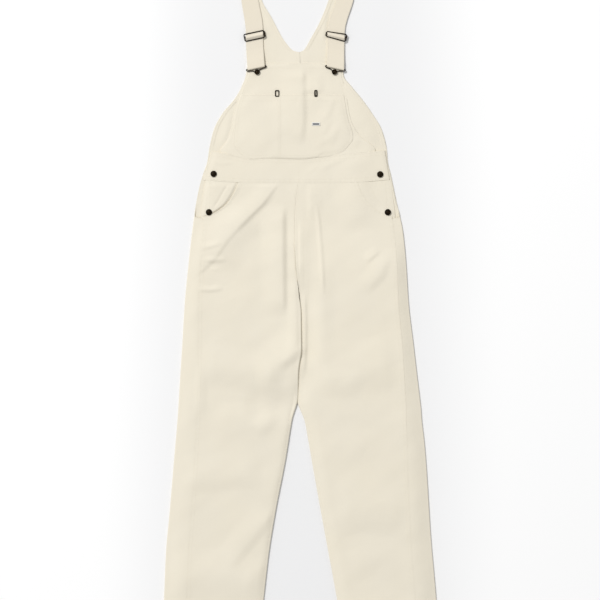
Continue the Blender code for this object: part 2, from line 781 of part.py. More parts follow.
def make_clip(name, x, width):
    """A small wire clip that lies over the mouth of the bib pocket."""
    y = BIB_POCKET[0]["y"] + 2
    z = pocket_level(x, y) + CLOTH / 2 + SEAM_GAP + CLIP_WIRE + 0.1
    outline = round_rectangle(width, CLIP_LENGTH, 1.2, 2)
    return make_wire(name, turned(outline, 0, x, y, z), CLIP_WIRE, True, bronze)


def make_tab():
    """The small plain tab stitched on the bib pocket."""
    def place(row, column):
        x = TAB_X + TAB_WIDTH * (column / 2 - 0.5)
        y = TAB_Y + TAB_HEIGHT * (0.5 - row)
        z = pocket_level(x, y) + CLOTH / 2 + SEAM_GAP + TAB_CLOTH / 2 + 0.1
        return x, y, z

    return make_sheet("pocket_tab", 1, 2, place, TAB_CLOTH, tab_cloth)


for item in list(bpy.data.objects):
    bpy.data.objects.remove(item)

overalls = bpy.data.collections.new("Painter's bib overalls")
cutters = bpy.data.collections.new("Cutters")
bpy.context.scene.collection.children.link(overalls)
bpy.context.scene.collection.children.link(cutters)

drill = make_material("Natural cotton drill", (0.82, 0.78, 0.68), 0.9)
bronze = make_material("Dark bronze", (0.05, 0.035, 0.02), 0.4, 0.9)
tab_cloth = make_material("Tab cloth", (0.75, 0.75, 0.72), 0.85)

make_back_half("back_half_right", RIGHT_HALF, RIGHT_BACK, -1)
make_back_half("back_half_left", LEFT_HALF, LEFT_BACK, 1)
make_pocket_facing("pocket_facing_right", -1)
make_pocket_facing("pocket_facing_left", 1)
make_front_leg("front_leg_right", RIGHT_HALF, RIGHT_LEVELS, -1)
make_front_leg("front_leg_left", LEFT_HALF, LEFT_LEVELS, 1)
make_waistband()
make_bib()
make_bib_pocket()
make_strap("strap_right", RIGHT_STRAP, -1)
make_strap("strap_left", LEFT_STRAP, 1)

for wearer, route, sign in (("right", RIGHT_STRAP, -1), ("left", LEFT_STRAP, 1)):
    make_slider(f"slider_{wearer}", route, sign)
    make_buckle(f"buckle_{wearer}", route, sign)
    drop = math.radians(90) - sign * END_SLANT
    button_x = strap_middle(route, BUCKLE_BAR_Y, 1) - BUTTON_DROP * math.cos(drop)
    button_y = BUCKLE_BAR_Y - BUTTON_DROP * math.sin(drop)
    bib_top = bib_level(button_x, button_y) + CLOTH / 2
    make_button(
        f"bib_button_{wearer}",
        button_x,
        button_y,
        bib_top + SEAM_GAP,
        BIB_BUTTON_HEAD,
        BIB_BUTTON_RADIUS,
        BIB_BUTTON_THICKNESS,
    )

for button in SIDE_BUTTONS:
    on_front = SECOND_LAYER + CLOTH / 2 + SEAM_GAP
    foot = on_front if button["y"] > 0 else FIRST_LAYER + CLOTH / 2 + SEAM_GAP
    make_button(
        button["name"],
        button["x"],
        button["y"],
        foot,
        on_front + SIDE_BUTTON_STAND,
        SIDE_BUTTON_RADIUS,
        SIDE_BUTTON_THICKNESS,
    )

make_clip("pocket_clip_right", -49.0, 8.0)
make_clip("pocket_clip_left", 42.0, 4.6)
make_tab()

middle_x = (LEFT_HALF[0]["side"] - RIGHT_HALF[0]["side"]) / 2
middle_y = (SHOULDER_Y + HEM_Y) / 2
for piece in [*overalls.objects, *cutters.objects]:
    piece.location -= Vector((middle_x, middle_y, 0)) * MM
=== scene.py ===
# Looks of the painter's bib overalls: cloth shells with creases and stitching, metal parts, floor and light.
# Tables are in millimetres from the middle of the waist seam. mm and shift bring them into the
# frame's metres.
import math

import bmesh
import bpy
import numpy as np
from mathutils import Matrix, Vector


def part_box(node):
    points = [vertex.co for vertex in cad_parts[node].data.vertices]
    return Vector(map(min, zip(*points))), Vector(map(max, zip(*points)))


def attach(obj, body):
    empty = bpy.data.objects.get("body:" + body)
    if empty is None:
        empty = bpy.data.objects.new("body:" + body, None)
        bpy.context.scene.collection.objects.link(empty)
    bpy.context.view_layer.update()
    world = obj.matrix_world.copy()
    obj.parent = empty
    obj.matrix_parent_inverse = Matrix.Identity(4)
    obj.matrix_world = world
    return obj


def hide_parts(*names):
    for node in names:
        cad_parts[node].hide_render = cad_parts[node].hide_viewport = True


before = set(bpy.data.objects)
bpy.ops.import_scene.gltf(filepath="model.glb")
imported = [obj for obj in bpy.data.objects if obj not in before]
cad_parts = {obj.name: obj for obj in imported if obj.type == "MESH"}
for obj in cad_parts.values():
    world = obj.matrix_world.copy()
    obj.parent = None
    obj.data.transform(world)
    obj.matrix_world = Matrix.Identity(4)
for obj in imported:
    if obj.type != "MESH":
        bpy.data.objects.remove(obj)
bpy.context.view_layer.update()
mm = 0.001


def table(columns, *rows):
    # rows of numbers, read by the names of their columns
    return [dict(zip(columns.split(), row)) for row in rows]


# the garment's own sizes, the same as its solids
garment = {
    "cloth": 1.3,        # one thickness of drill
    "strapCloth": 1.6,
    "gap": 0.3,          # between pieces that are sewn together
    "hemY": -1144.0,
    "hemRow": 10.0,      # of stitches, above the hem
    "openingY": -79.0,   # lower end of the side openings
    "shoulderY": 519.0,
    "strapWidth": 40.0,
    "crotchY": -440.0,
    "slant": math.radians(12),
}
backLevel = garment["cloth"] / 2
firstLayer = backLevel + garment["cloth"] + garment["gap"]
secondLayer = firstLayer + garment["cloth"] + garment["gap"]

rightHalf = table(
    "y side flank inseam",
    (-1144, 327, 55, 100), (-980, 315, 53, 81), (-867, 310, 52, 68), (-768, 301, 50, 52),
    (-649, 291, 47, 29), (-557, 283, 44, 14), (-512, 280, 42, 4), (-446, 276, 40, 2.4),
    (-385, 272, 37, -4.6), (-284, 266, 32, -3.6), (-190, 257, 28, 5), (-110, 248, 24, 8.6),
    (-48, 239, 19, 6), (0, 229, 15, 0.4), (23, 222, 10, -1))
leftHalf = table(
    "y side flank inseam",
    (-1144, 337, 50, 120), (-980, 325, 49, 92), (-817, 311, 47, 62), (-768, 308, 46, 53),
    (-673, 302, 44, 36), (-610, 297, 40, 25), (-557, 291, 37, 15), (-530, 289, 35, 4),
    (-512, 287, 34, -1.8), (-446, 279, 30, -1.8), (-385, 272, 27, 5.2), (-284, 260, 24, 4.2),
    (-190, 254, 22, -5), (-110, 246, 21, -8.6), (-48, 232, 17, -6), (0, 222, 14, -0.4), (23, 217, 9, 1))
sideFold = table(
    "y turn reach radius thin",
    (-118, 180, 1.0, 2.0, 0), (-93, 180, 1.0, 1.7, 0.3), (-86, 180, 1.0, 1.6, 0.4),
    (-83, 180, 0.8, 1.6, 0.4), (-81, 172, 0.3, 1.6, 0.4), (-79.5, 158, 0.0, 1.6, 0.4),
    (-74, 90, 0.0, 1.6, 0.2), (-62, 25, 0.0, 2.0, 0), (-46, 0, 0.0, 2.0, 0))
rightBack = table(
    "y armhole seam",
    (0, 229, -0.2), (23, 222, -0.8), (48, 213, -1.6), (81, 208, -3), (126, 197, -5), (165, 176, -6.5),
    (197, 149, -7.5), (226, 132, -7.8), (250, 123, -7.5), (282, 118, -5.5), (300, 117, -4.2),
    (307.4, 117, -3.8), (308.4, 117, 3), (310, 117, 9), (313.5, 117, 15), (325, 117, 25), (340, 118, 36),
    (387, 122, 61), (430, 127, 85), (444.7, 129.5, 88))
leftBack = table(
    "y armhole seam",
    (0, 222, 0.2), (23, 217, 1.1), (48, 211, 1.9), (81, 208, 3.3), (126, 196, 5.3), (165, 173, 6.8),
    (197, 150, 7.8), (226, 126, 8.1), (250, 108, 7.8), (282, 104, 5.8), (300, 103, 4.2),
    (307.4, 103, 4.0), (308.6, 103, 7), (310.4, 103, 11), (313.5, 103, 15), (336, 104, 28),
    (376, 108, 50), (430, 115, 72), (444.7, 118, 76.5))
pocketOpening = table(
    "y x",
    (0, 140), (-12, 144), (-30, 153), (-47, 165), (-58, 177), (-66, 189), (-72, 200), (-76, 210),
    (-79, 221))
rightLevels = table(
    "y inner middle side curl radius",
    (-1144, 3.9, 4.3, 4.65, 90, 2.1), (-570, 4.3, 4.0, 4.65, 90, 2.1), (-530, 5.2, 4.1, 4.65, 110, 2.2),
    (-500, 5.5, 4.2, 4.65, 140, 2.2), (-440, 6.3, 4.2, 4.65, 140, 2.2), (-400, 7.0, 4.2, 4.65, 140, 2.2),
    (-310, 7.0, 4.2, 4.65, 140, 2.2), (-265, 6.2, 4.1, 4.65, 90, 1.8), (-225, 4.4, 3.95, 4.65, 0, 1.6),
    (-104, 3.85, 3.95, 4.65, 0, 1.6), (-79, 3.85, 3.9, 3.95, 0, 1.6), (0, 3.85, 3.85, 3.85, 0, 1.6))
leftLevels = table(
    "y inner middle side curl radius",
    (-1144, 3.9, 4.3, 4.65, 90, 2.1), (-560, 3.9, 4.0, 4.65, 90, 2.1), (-500, 2.2, 3.9, 4.65, 90, 1.6),
    (-440, 2.5, 3.9, 4.65, 80, 1.6), (-310, 3.2, 3.9, 4.65, 70, 1.6), (-250, 3.4, 3.9, 4.65, 0, 1.6),
    (-104, 3.85, 3.95, 4.65, 0, 1.6), (-79, 3.85, 3.9, 3.95, 0, 1.6), (0, 3.85, 3.85, 3.85, 0, 1.6))
waist = table(
    "x seam top",
    (-214, 6, 75), (-176, 3, 70), (-143, 1, 62), (-108, 0, 55), (-64, 0, 57), (5, 0, 55), (47, 0, 59),
    (96, 0, 65), (150, 2, 71), (210, 7, 77))
waistbandEnds = {"low": (-222.0, 216.0), "high": (-204.0, 204.5)}
bibEdges = table(
    "y right left",
    (282, -118, 104), (254, -121, 103), (223, -134, 111), (181, -147, 118), (150, -154, 124),
    (126, -158, 135), (106, -165, 151), (90, -177, 176), (78, -189, 185))
pocketEdges = table(
    "y right left",
    (208, -134, 108), (181, -141, 112.5), (150, -147, 118), (128, -150, 125.5), (112, -151.5, 129.5),
    (101, -152, 129), (91, -151, 122.5), (79, -147, 116), (67, -138, 107.5), (60.5, -126, 93),
    (58, -112, 76))
rightStrap = table(
    "y back front",
    (260, -98, -97.5), (331, -98, -102), (362, -100, -102.6), (430, -106, -113), (445, -108.8, -114.5),
    (519, -122.5, -122.5))
leftStrap = table(
    "y back front",
    (260, 88, 88), (331, 89, 89), (362, 90, 90), (430, 93, 110), (445, 97.2, 113), (519, 127, 127))
shift = Vector(((leftHalf[0]["side"] - rightHalf[0]["side"]) / 2,
                (garment["shoulderY"] + garment["hemY"]) / 2, 0))

# Creases: near, far, lift, then the points of its path. Each rises by lift, or sinks where that is below
# nothing, and falls away over near on its upper left side and over far on its lower right side.
broadCreases = [    # the way the whole garment lies, shared by all its layers
    (60, 56, 3.8, (126, 70), (136, -20), (150, -104)),
    (50, 50, 0.9, (-90, 120), (-64, 60), (-40, -40)),
    (60, 56, 4.6, (-40, -456), (-110, -442), (-226, -428)),
    (50, 60, 1.8, (-44, -560), (-110, -562), (-190, -548)),
    (64, 40, 3.2, (-262, -698), (-180, -690), (-92, -684)),
    (50, 24, 3.0, (-62, -772), (-110, -832), (-164, -896)),
    (70, 80, 5.0, (-300, -928), (-200, -918), (-90, -946)),
    (90, 56, 4.6, (46, -454), (130, -450), (226, -440)),
    (44, 44, 2.4, (56, -470), (100, -474), (146, -470)),
    (90, 72, 3.4, (92, -764), (170, -756), (250, -768)),
    (46, 50, 1.2, (112, -620), (180, -612), (250, -630)),
    (56, 60, 1.8, (120, -884), (190, -876), (290, -906)),
    (56, 56, 2.0, (130, -1016), (220, -1004), (310, -1030)),
    (52, 46, 1.8, (-300, -1066), (-210, -1056), (-120, -1076)),
]
legCreases = [
    (62, 9, 2.2,    # big diagonal fold on the hip
     (-48, 0), (-85, -48), (-117, -79), (-168, -134), (-195, -174), (-222, -200), (-234, -212)),
    (44, 15, 2.8, (-62, -24), (-85, -48), (-117, -79), (-146, -108)),
    (80, 68, 6.2, (-110, -74), (-140, -104), (-168, -134), (-200, -184)),
    (14, 6, 1.6, (-226, -154), (-204, -149), (-180, -142)),
    (12, 8, 2.2, (-220, -181), (-196, -182), (-170, -180)),
    (8, 5, 0.8, (-206, -203), (-184, -204)),
    (13, 7, 2.2, (-232, -250), (-206, -252), (-178, -248)),
    (56, 14, 6.0, (-38, -60), (-38, -180), (-36, -306)),    # valley beside the fly
    (24, 12, 2.6, (-8, -230), (-6, -300), (-5, -396)),
    (20, 44, 1.5, (-4, -80), (-8, -150), (-6, -230)),
    (4, 38, 1.8, (4, -92), (6, -214)),
    (14, 32, 1.8, (30, -4), (33, -86)),
    (8, 5, 2.4, (44, -58), (49, -90), (54, -150), (58, -216), (60, -256)),
    (24, 36, 1.8, (54, -196), (56, -300), (54, -416)),
    (22, 7, 3.2, (15, -256), (17, -310), (17, -384), (13, -450)),
    (70, 24, 5.2, (12, -380), (-14, -400), (-50, -428)),    # crotch
    (70, 84, 4.4, (10, -390), (-13, -410), (-46, -434), (-92, -440)),
    (52, 50, -4.8, (8, -522), (-54, -528), (-120, -520)),
    (30, 24, 1.8, (-54, -541), (-95, -587)),
    (36, 20, 2.6, (156, -252), (192, -214), (210, -166)),    # lit patch on the other hip
    (22, 7, 2.0, (160, -186), (190, -160)),
    (18, 20, 1.8, (-230, -424), (-229, -480), (-230, -540)),
]
bibCreases = [
    (26, 14, 1.3, (58, 138), (72, 170), (84, 204)),
    (14, 9, 0.7, (58, 112), (78, 150)),
    (20, 12, 0.9, (74, 92), (96, 136)),
    (16, 10, 0.4, (44, 84), (80, 112)),
    (14, 26, 0.8, (10, 212), (38, 208), (62, 213)),
    (50, 44, 1.0, (-84, 76), (-96, 180)),
    (40, 30, 0.4, (102, 196), (106, 156), (106, 112), (96, 86)),
    (26, 5, 0.6, (-44, 206), (-44, 140), (-44, 60)),
]
bibBodyCreases = [
    (70, 15, 4.0, (8, 310), (8, 214), (9, 150), (4, 96)),
    (50, 15, 2.4, (14, 224), (36, 219), (60, 224)),
    (26, 12, 0.8, (126, 78), (150, 120), (140, 160)),
]
waistCreases = [
    (8, 6, 0.6, (-200, 50), (-176, 45), (-150, 48)),
    (14, 10, 0.7, (50, 30), (80, 46), (120, 62)),
    (10, 8, 0.4, (20, 22), (46, 40)),
]
backCreases = [
    (56, 28, 1.8, (8, 306), (8, 210)),
    (12, 8, 0.9, (60, 330), (62, 372), (70, 410)),
    (12, 10, 0.8, (-60, 352), (-70, 392), (-84, 424)),
    (24, 5, 1.5, (-156, 170), (-162, 140), (-171, 106), (-186, 84)),
    (50, 24, 3.0, (112, 252), (132, 206), (152, 168), (170, 124), (184, 92)),
    (2.4, 8, 1.9,    # rolls up beside the front
     (207, 76), (211, 46), (218, 6), (223.5, -24), (227, -48), (230, -68)),
    (6, 2, 0.8, (-215.5, 70), (-216, 40), (-219, 4)),
]


def smooth(value):
    value = np.clip(value, 0.0, 1.0)
    return value * value * (3 - 2 * value)


def fall(value):
    return 1 - smooth(value)


def read(rows, column, where, key="y"):
    # smooth reading between rows that never overshoots them
    rows = sorted(rows, key=lambda row: row[key])
    at = np.array([row[key] for row in rows], float)
    value = np.array([row[column] for row in rows], float)
    where = np.clip(where, at[0], at[-1])
    slope = np.diff(value) / np.diff(at)
    before = np.concatenate((slope[:1], slope))
    after = np.concatenate((slope, slope[-1:]))
    both = before * after
    total = np.where(both > 0, before + after, 1.0)
    tangent = np.where(both > 0, 2 * both / total, 0.0)
    low = np.clip(np.searchsorted(at, where) - 1, 0, len(rows) - 2)
    span = at[low + 1] - at[low]
    part = (where - at[low]) / span
    square, cube = part ** 2, part ** 3
    result = (2 * cube - 3 * square + 1) * value[low] + (cube - 2 * square + part) * span * tangent[low]
    return result + (3 * square - 2 * cube) * value[low + 1] + (cube - square) * span * tangent[low + 1]


def creaseHeight(creases, x, y):
    total = np.zeros(np.broadcast(x, y).shape)
    for near, far, lift, *points in creases:
        path = np.array(points, float)
        runs = np.diff(path, axis=0)
        lengths = np.hypot(runs[:, 0], runs[:, 1])
        whole = lengths.sum()
        nearest = np.full(total.shape, 1e9)
        side = np.zeros(total.shape)
        along = np.zeros(total.shape)
        done = 0.0
        for start, run, length in zip(path, runs, lengths):
            direction = run / length
            ahead = (x - start[0]) * direction[0] + (y - start[1]) * direction[1]
            across = direction[0] * (y - start[1]) - direction[1] * (x - start[0])
            held = np.clip(ahead, 0, length)
            distance = np.hypot(across, ahead - held)
            closer = distance < nearest
            nearest = np.where(closer, distance, nearest)
            lower = across > 0 if direction[0] + direction[1] < 0 else across < 0
            side = np.where(closer, lower, side)
            along = np.where(closer, done + np.clip(ahead, -40, length + 40), along)
            done += length
        # it fades out towards both ends of its path
        end = min(45.0, whole * 0.45)
        taper = smooth((along + end * 0.3) / end) * smooth((whole + end * 0.3 - along) / end)
        total = total + lift * taper * fall(nearest / np.where(side > 0.5, far, near))
    return total


def crumple(x, y, seed, size=1.0):
    # gentle unevenness of laid cloth, a few crossing waves
    random = np.random.default_rng(seed)
    total = 0.0
    for wave in range(10):
        angle = random.uniform(0, math.pi)
        length = random.uniform(44, 220)
        phase = random.uniform(0, 2 * math.pi)
        travel = (x * math.cos(angle) + y * math.sin(angle)) / length
        bend = 0.9 * np.sin(x / random.uniform(70, 160) + y / random.uniform(70, 160) + phase)
        total = total + np.sin(2 * math.pi * travel + bend + phase) * (0.06 + length / 560)
    return np.clip(total * size, -1, 1)


def pucker(distance, along, seed, depth=0.3):
    # small drawn-in ripples beside a stitched seam
    wave = np.sin(along / 1.9 + seed) + 0.7 * np.sin(along / 3.1 + seed * 2.3)
    wave = wave + 0.5 * np.sin(along / 6.7 + seed)
    return depth * wave * np.exp(-(distance / 7.5) ** 2) * 0.45


def settle(x, y):
    # the tops of the legs and facings follow the waist seam
    return y + read(waist, "seam", x, "x") * smooth(1 + np.minimum(y, 0) / 60)


# how each leg rises from its folds: the sides' heights, how far in the inner rise reaches,
# how nearly straight the left one's slope is, and how low it lies beside the lap
body = {"liftRight": 3.6, "liftLeft": 7.5, "innerRight": 16, "innerLeft": 34,
        "straight": 0.75, "besideLap": 0.8, "rumple": 0.8}


def sided(x, y, right, left, column):
    # read from the table of the side that x is on
    return np.where(x < 0, read(right, column, y), read(left, column, y))


def lay(x, y):
    # how the garment rises and falls as it lies, the same for every layer; nothing at its edges
    above = sided(x, y, rightBack, leftBack, "armhole")
    outside = np.where(y < 0, sided(x, y, rightHalf, leftHalf, "side"), above)
    inside = sided(x, y, rightHalf, leftHalf, "inseam")
    ease = smooth((outside - np.abs(x) - 13 * smooth((y + 90) / 40)) / 30)
    ease = ease * smooth((y - garment["hemY"]) / 40)
    ease = ease * (1 - fall((np.abs(x) - inside) / 20) * smooth((garment["crotchY"] - y) / 80))
    ease = ease * fall((y - 205) / 34)
    return ease * (creaseHeight(broadCreases, x, y) + body["rumple"] * (1 + crumple(x, y, 5)))


def bodyLift(half, x, y):
    # each leg is a flattened tube: it rises from its folds like a quarter of an oval
    side, flank, inner = (read(half, column, y) for column in ("side", "flank", "inseam"))
    left = half is leftHalf
    across = np.clip((side - x - 3) / (flank - 3), 0, 1)
    straight = body["straight"] * smooth((y + 640) / 90) if left else 0
    outerRise = np.sin(math.pi / 2 * across) * (1 - straight) + across * straight
    reach = body["innerLeft"] if left else body["innerRight"]
    belowCrotch = smooth((garment["crotchY"] - y) / 90)
    rise = np.sin(math.pi / 2 * np.clip((x - inner + 1) / reach, 0, 1))
    innerRise = 1 - (1 - rise) * belowCrotch
    if left:
        beside = body["besideLap"] * fall((x - inner - 12) / 46) * smooth((-y - 190) / 90)
        innerRise = innerRise - beside * (1 - belowCrotch)
    lift = body["liftLeft"] if left else body["liftRight"]
    return lift * smooth((-y - 100) / 110) * outerRise * innerRise


def spaced(start, end, step, dense=0.0, denseStep=1.2):
    # stops from start to end, closer together for a stretch at both ends
    length = abs(end - start)
    edge = np.linspace(0, dense, round(dense / denseStep) + 1)[:-1] if dense else np.array([])
    middle = np.linspace(dense, length - dense, max(int((length - 2 * dense) / step), 1) + 1)
    stops = np.concatenate((edge, middle, length - edge[::-1])) if dense else middle
    return start + stops / length * (end - start)


def band(distance, width, extra, soft=3.0):
    # a hem or seam allowance: extra thickness within width of an edge
    return extra * fall((distance - width) / soft + 0.5)


def addPiece(name, mesh, slot, *nodes):
    piece = bpy.data.objects.new(name, mesh)
    bpy.context.collection.objects.link(piece)
    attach(piece, "root")
    if nodes:
        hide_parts(*nodes)
    return piece


def makeSheet(node, columns, rows, place, material, crisp=None, slot="drill"):
    # A grid bent by place(column, row), which gives the middle of the cloth in millimetres
    # and its thickness there. crisp(column, row) says where an edge is sewn and not folded.
    name = node + "_cloth"
    columns, rows = np.asarray(columns), np.asarray(rows)
    mesh = bpy.data.meshes.new(name)
    grid = bmesh.new()
    bmesh.ops.create_grid(grid, x_segments=len(columns) - 1, y_segments=len(rows) - 1, size=1)
    grid.to_mesh(mesh)
    grid.free()
    flat = np.zeros(len(mesh.vertices) * 3)
    mesh.vertices.foreach_get("co", flat)
    flat = flat.reshape(-1, 3)
    column = np.rint((flat[:, 0] + 1) / 2 * (len(columns) - 1)).astype(int)
    row = np.rint((flat[:, 1] + 1) / 2 * (len(rows) - 1)).astype(int)
    x, y, z, thick = np.broadcast_arrays(*place(columns[column], rows[row]))
    placed = np.stack((x, y, z), axis=1)
    mesh.vertices.foreach_set("co", ((placed - np.array(shift)) * mm).ravel())
    mesh.materials.append(material)
    mesh.polygons.foreach_set("use_smooth", [True] * len(mesh.polygons))
    mesh.update()
    if crisp is not None:
        sewn = crisp(columns[column], rows[row])
        rim = (column == 0) | (column == len(columns) - 1) | (row == 0) | (row == len(rows) - 1)
        ends = np.zeros(len(mesh.edges) * 2, dtype=int)
        mesh.edges.foreach_get("vertices", ends)
        ends = ends.reshape(-1, 2)
        outer = rim[ends].all(axis=1) & sewn[ends].all(axis=1)
        mesh.attributes.new("sharp_edge", "BOOLEAN", "EDGE").data.foreach_set("value", outer)
    piece = addPiece(name, mesh, slot, node)
    most = float(np.max(thick))
    group = piece.vertex_groups.new(name="thickness")
    weights = np.round(thick / most, 2)
    for weight in np.unique(weights):
        group.add(np.flatnonzero(weights == weight).tolist(), float(weight), "REPLACE")
    shell = piece.modifiers.new("Cloth", "SOLIDIFY")
    shell.thickness = most * mm
    shell.offset = 0
    shell.vertex_group = "thickness"
    print(name, len(columns) - 1, "by", len(rows) - 1)
    return piece


class Value:
    # a shader socket that takes part in Python sums
    def __init__(self, finish, socket):
        self.finish = finish
        self.socket = socket

    def __add__(self, other):
        return self.finish.math("ADD", self, other)

    def __radd__(self, other):
        return self.finish.math("ADD", other, self)

    def __sub__(self, other):
        return self.finish.math("SUBTRACT", self, other)

    def __rsub__(self, other):
        return self.finish.math("SUBTRACT", other, self)

    def __mul__(self, other):
        return self.finish.math("MULTIPLY", self, other)

    def __rmul__(self, other):
        return self.finish.math("MULTIPLY", other, self)


class Finish:
    # a material in the making
    def __init__(self, name):
        self.material = bpy.data.materials.new(name)
        self.material.use_nodes = True
        self.tree = self.material.node_tree
        self.shader = self.tree.nodes["Principled BSDF"]
        self.where = self.node("TexCoord", "Object")

    def node(self, kind, output, inputs=None, **settings):
        # any node: its settings first, then what its sockets hold or are linked to
        made = self.tree.nodes.new("ShaderNode" + kind)
        for key, value in settings.items():
            setattr(made, key, value)
        for key, value in (inputs or {}).items():
            self.feed(made.inputs[key], value)
        return Value(self, made.outputs[output])

    def feed(self, socket, value):
        if isinstance(value, Value):
            self.tree.links.new(value.socket, socket)
        else:
            socket.default_value = value

    def math(self, operation, first, second=0.0):
        return self.node("Math", 0, {0: first, 1: second}, operation=operation)

    def axis(self, letter):
        return self.node("SeparateXYZ", letter, {"Vector": self.where})

    def turned(self, where, inputs):
        return self.node("Mapping", "Vector", {"Vector": where, **inputs})

    def mix(self, factor, first, second):
        # colours
        first, second = ((*color, 1) if isinstance(color, tuple) else color for color in (first, second))
        return self.node("Mix", "Result", {"Factor": factor, "A": first, "B": second}, data_type="RGBA")

    def noise(self, where, scale, detail=2.0, rough=0.5):
        inputs = {"Vector": where, "Scale": scale, "Detail": detail, "Roughness": rough}
        return self.node("TexNoise", "Fac", inputs)

    def bump(self, strength, distance, height):
        return self.node("Bump", "Normal", {"Strength": strength, "Distance": distance, "Height": height})

    def set(self, **inputs):
        for key, value in inputs.items():
            self.feed(self.shader.inputs[key.replace("_", " ")], value)
        return self.material


def drillCloth(name, color, turn=0.0):
    # natural cotton drill: steep twill lines, slubs, seed flecks and a soft uneven tone
    cloth = {"pitch": 0.9, "steepness": math.radians(28), "depth": 0.25, "flecks": 190.0, "fleckSize": 0.075}
    finish = Finish(name)
    turned = finish.turned(finish.where, {"Rotation": (0, 0, turn)})
    line = finish.turned(turned, {"Rotation": (0, 0, cloth["steepness"])})
    waves = {"Vector": line, "Scale": 0.314 / (cloth["pitch"] * mm), "Distortion": 0.6, "Detail": 2.0,
             "Detail Scale": 3.0}
    twill = finish.node("TexWave", "Fac", waves)
    slubs = finish.noise(finish.turned(turned, {"Scale": (1.0, 0.08, 1.0)}), 900.0, 3.0, 0.6)
    fibre = finish.noise(finish.where, 2400.0, 2.0, 0.6)
    broad = finish.noise(finish.where, 7.0, 3.0, 0.55)
    middling = finish.noise(finish.where, 42.0, 3.0, 0.5)
    seeds = finish.node("TexVoronoi", "Distance", {"Vector": turned, "Scale": cloth["flecks"]})
    fleck = finish.math("LESS_THAN", seeds, cloth["fleckSize"])

    def shade(red, green, blue):
        return color[0] * red, color[1] * green, color[2] * blue

    tone = finish.mix(broad * 0.9, color, shade(1.0, 0.985, 0.945))
    tone = finish.mix(middling * 0.22, tone, shade(0.93, 0.93, 0.93))
    tone = finish.mix(slubs * 0.14, tone, shade(0.9, 0.9, 0.9))
    tone = finish.mix(fleck * slubs * 0.35, tone, shade(0.66, 0.58, 0.45))
    relief = twill * 0.55 + slubs * 0.5 + fibre * 0.35
    return finish.set(Base_Color=tone, Roughness=0.88 + fibre * 0.08, Sheen_Weight=0.12, Sheen_Roughness=0.5,
                      Normal=finish.bump(cloth["depth"], 0.0005, relief), Specular_IOR_Level=0.25)


def threadFinish():
    finish = Finish("stitching thread")
    tone = finish.mix(finish.noise(finish.where, 3000.0), (0.83, 0.775, 0.655), (0.77, 0.71, 0.59))
    return finish.set(Base_Color=tone, Roughness=0.7, Specular_IOR_Level=0.35)


def bronzeFinish():
    # dark bronze plating, rubbed a little lighter where hands touch it
    finish = Finish("dark bronze")
    wear = finish.noise(finish.where, 260.0, 4.0, 0.65)
    grain = finish.noise(finish.where, 1500.0, 3.0)
    rubbed = finish.node("MapRange", "Result", {"Value": wear, "From Min": 0.52, "From Max": 0.85})
    tone = finish.mix(rubbed, (0.010, 0.0062, 0.0022), (0.060, 0.034, 0.012))
    return finish.set(Base_Color=tone, Metallic=0.55, Roughness=0.34 + grain * 0.2,
                      Normal=finish.bump(0.25, 0.0002, grain), Specular_IOR_Level=0.14)


tab = {"x": 42.0, "y": 138.0, "width": 20.0, "height": 8.0, "thick": 0.7, "above": 0.15,
       "bar": (7.6, 1.9), "stitchIn": 1.4}


def tabFinish():
    # plain woven tab: off-white ground with one blue-grey bar along its middle
    finish = Finish("plain woven tab")
    bar = 1.0
    for letter, middle, reach in zip("XY", (tab["x"] - shift.x, tab["y"] - shift.y), tab["bar"]):
        offset = finish.math("ABSOLUTE", finish.axis(letter) - middle * mm)
        bar = finish.math("LESS_THAN", offset, reach * mm) * bar
    weave = finish.noise(finish.where, 1800.0)
    tone = finish.mix(bar, (0.78, 0.77, 0.73), (0.085, 0.094, 0.108))
    tone = finish.mix(weave * 0.12, tone, (0.5, 0.5, 0.49))
    return finish.set(Base_Color=tone, Roughness=0.8, Normal=finish.bump(0.3, 0.0003, weave))


drillColor = (0.84, 0.785, 0.665)
strapShade = (0.97, 0.955, 0.945)
drill = drillCloth("natural drill", drillColor)
drillAcross = drillCloth("natural drill, cut across", drillColor, math.radians(90))
strapDrill = drillCloth("natural drill, straps", tuple(c * s for c, s in zip(drillColor, strapShade)))
thread = threadFinish()
bronze = bronzeFinish()
tabCloth = tabFinish()
print("finishes made")


stitch = {"length": 2.7, "pitch": 3.4, "width": 0.52, "height": 0.40, "sink": 0.16}
down = (0, 0, -1)
stitchShape = bmesh.new()
bmesh.ops.create_uvsphere(stitchShape, u_segments=6, v_segments=3, radius=0.5)
bmesh.ops.triangulate(stitchShape, faces=stitchShape.faces)
stitchShape.verts.ensure_lookup_table()
stitchPoints = np.array([vertex.co[:] for vertex in stitchShape.verts])
stitchFaces = np.array([[vertex.index for vertex in face.verts] for face in stitchShape.faces])
stitchShape.free()
rowsSewn = []


def sewAlong(x, y, z, up=(0, 0, 1)):
    # one row of stitches along a run of points that lie on the cloth
    points = np.stack(np.broadcast_arrays(x, y, z), axis=1).astype(float)
    up = np.broadcast_to(np.asarray(up, float), points.shape)
    steps = np.linalg.norm(np.diff(points, axis=0), axis=1)
    travelled = np.concatenate(([0], np.cumsum(steps)))
    count = max(int(travelled[-1] / stitch["pitch"]), 1)
    middles = (np.arange(count) + 0.5) * travelled[-1] / count

    def at(where, values):
        return np.stack([np.interp(where, travelled, values[:, k]) for k in range(3)], axis=1)

    ends = [at(middles + offset * stitch["length"], points) for offset in (-0.5, 0.5)]
    rowsSewn.append((*ends, at(middles, up)))


def sew(path, surface, step=2.0):
    # a row of stitches on a surface given as place(x, y), which returns the point on the cloth
    path = np.array(list(path), float)
    travelled = np.concatenate(([0], np.cumsum(np.hypot(*np.diff(path, axis=0).T))))
    at = np.linspace(0, travelled[-1], max(int(travelled[-1] / step), 1) + 1)
    sewAlong(*surface(*(np.interp(at, travelled, path[:, k]) for k in (0, 1))))


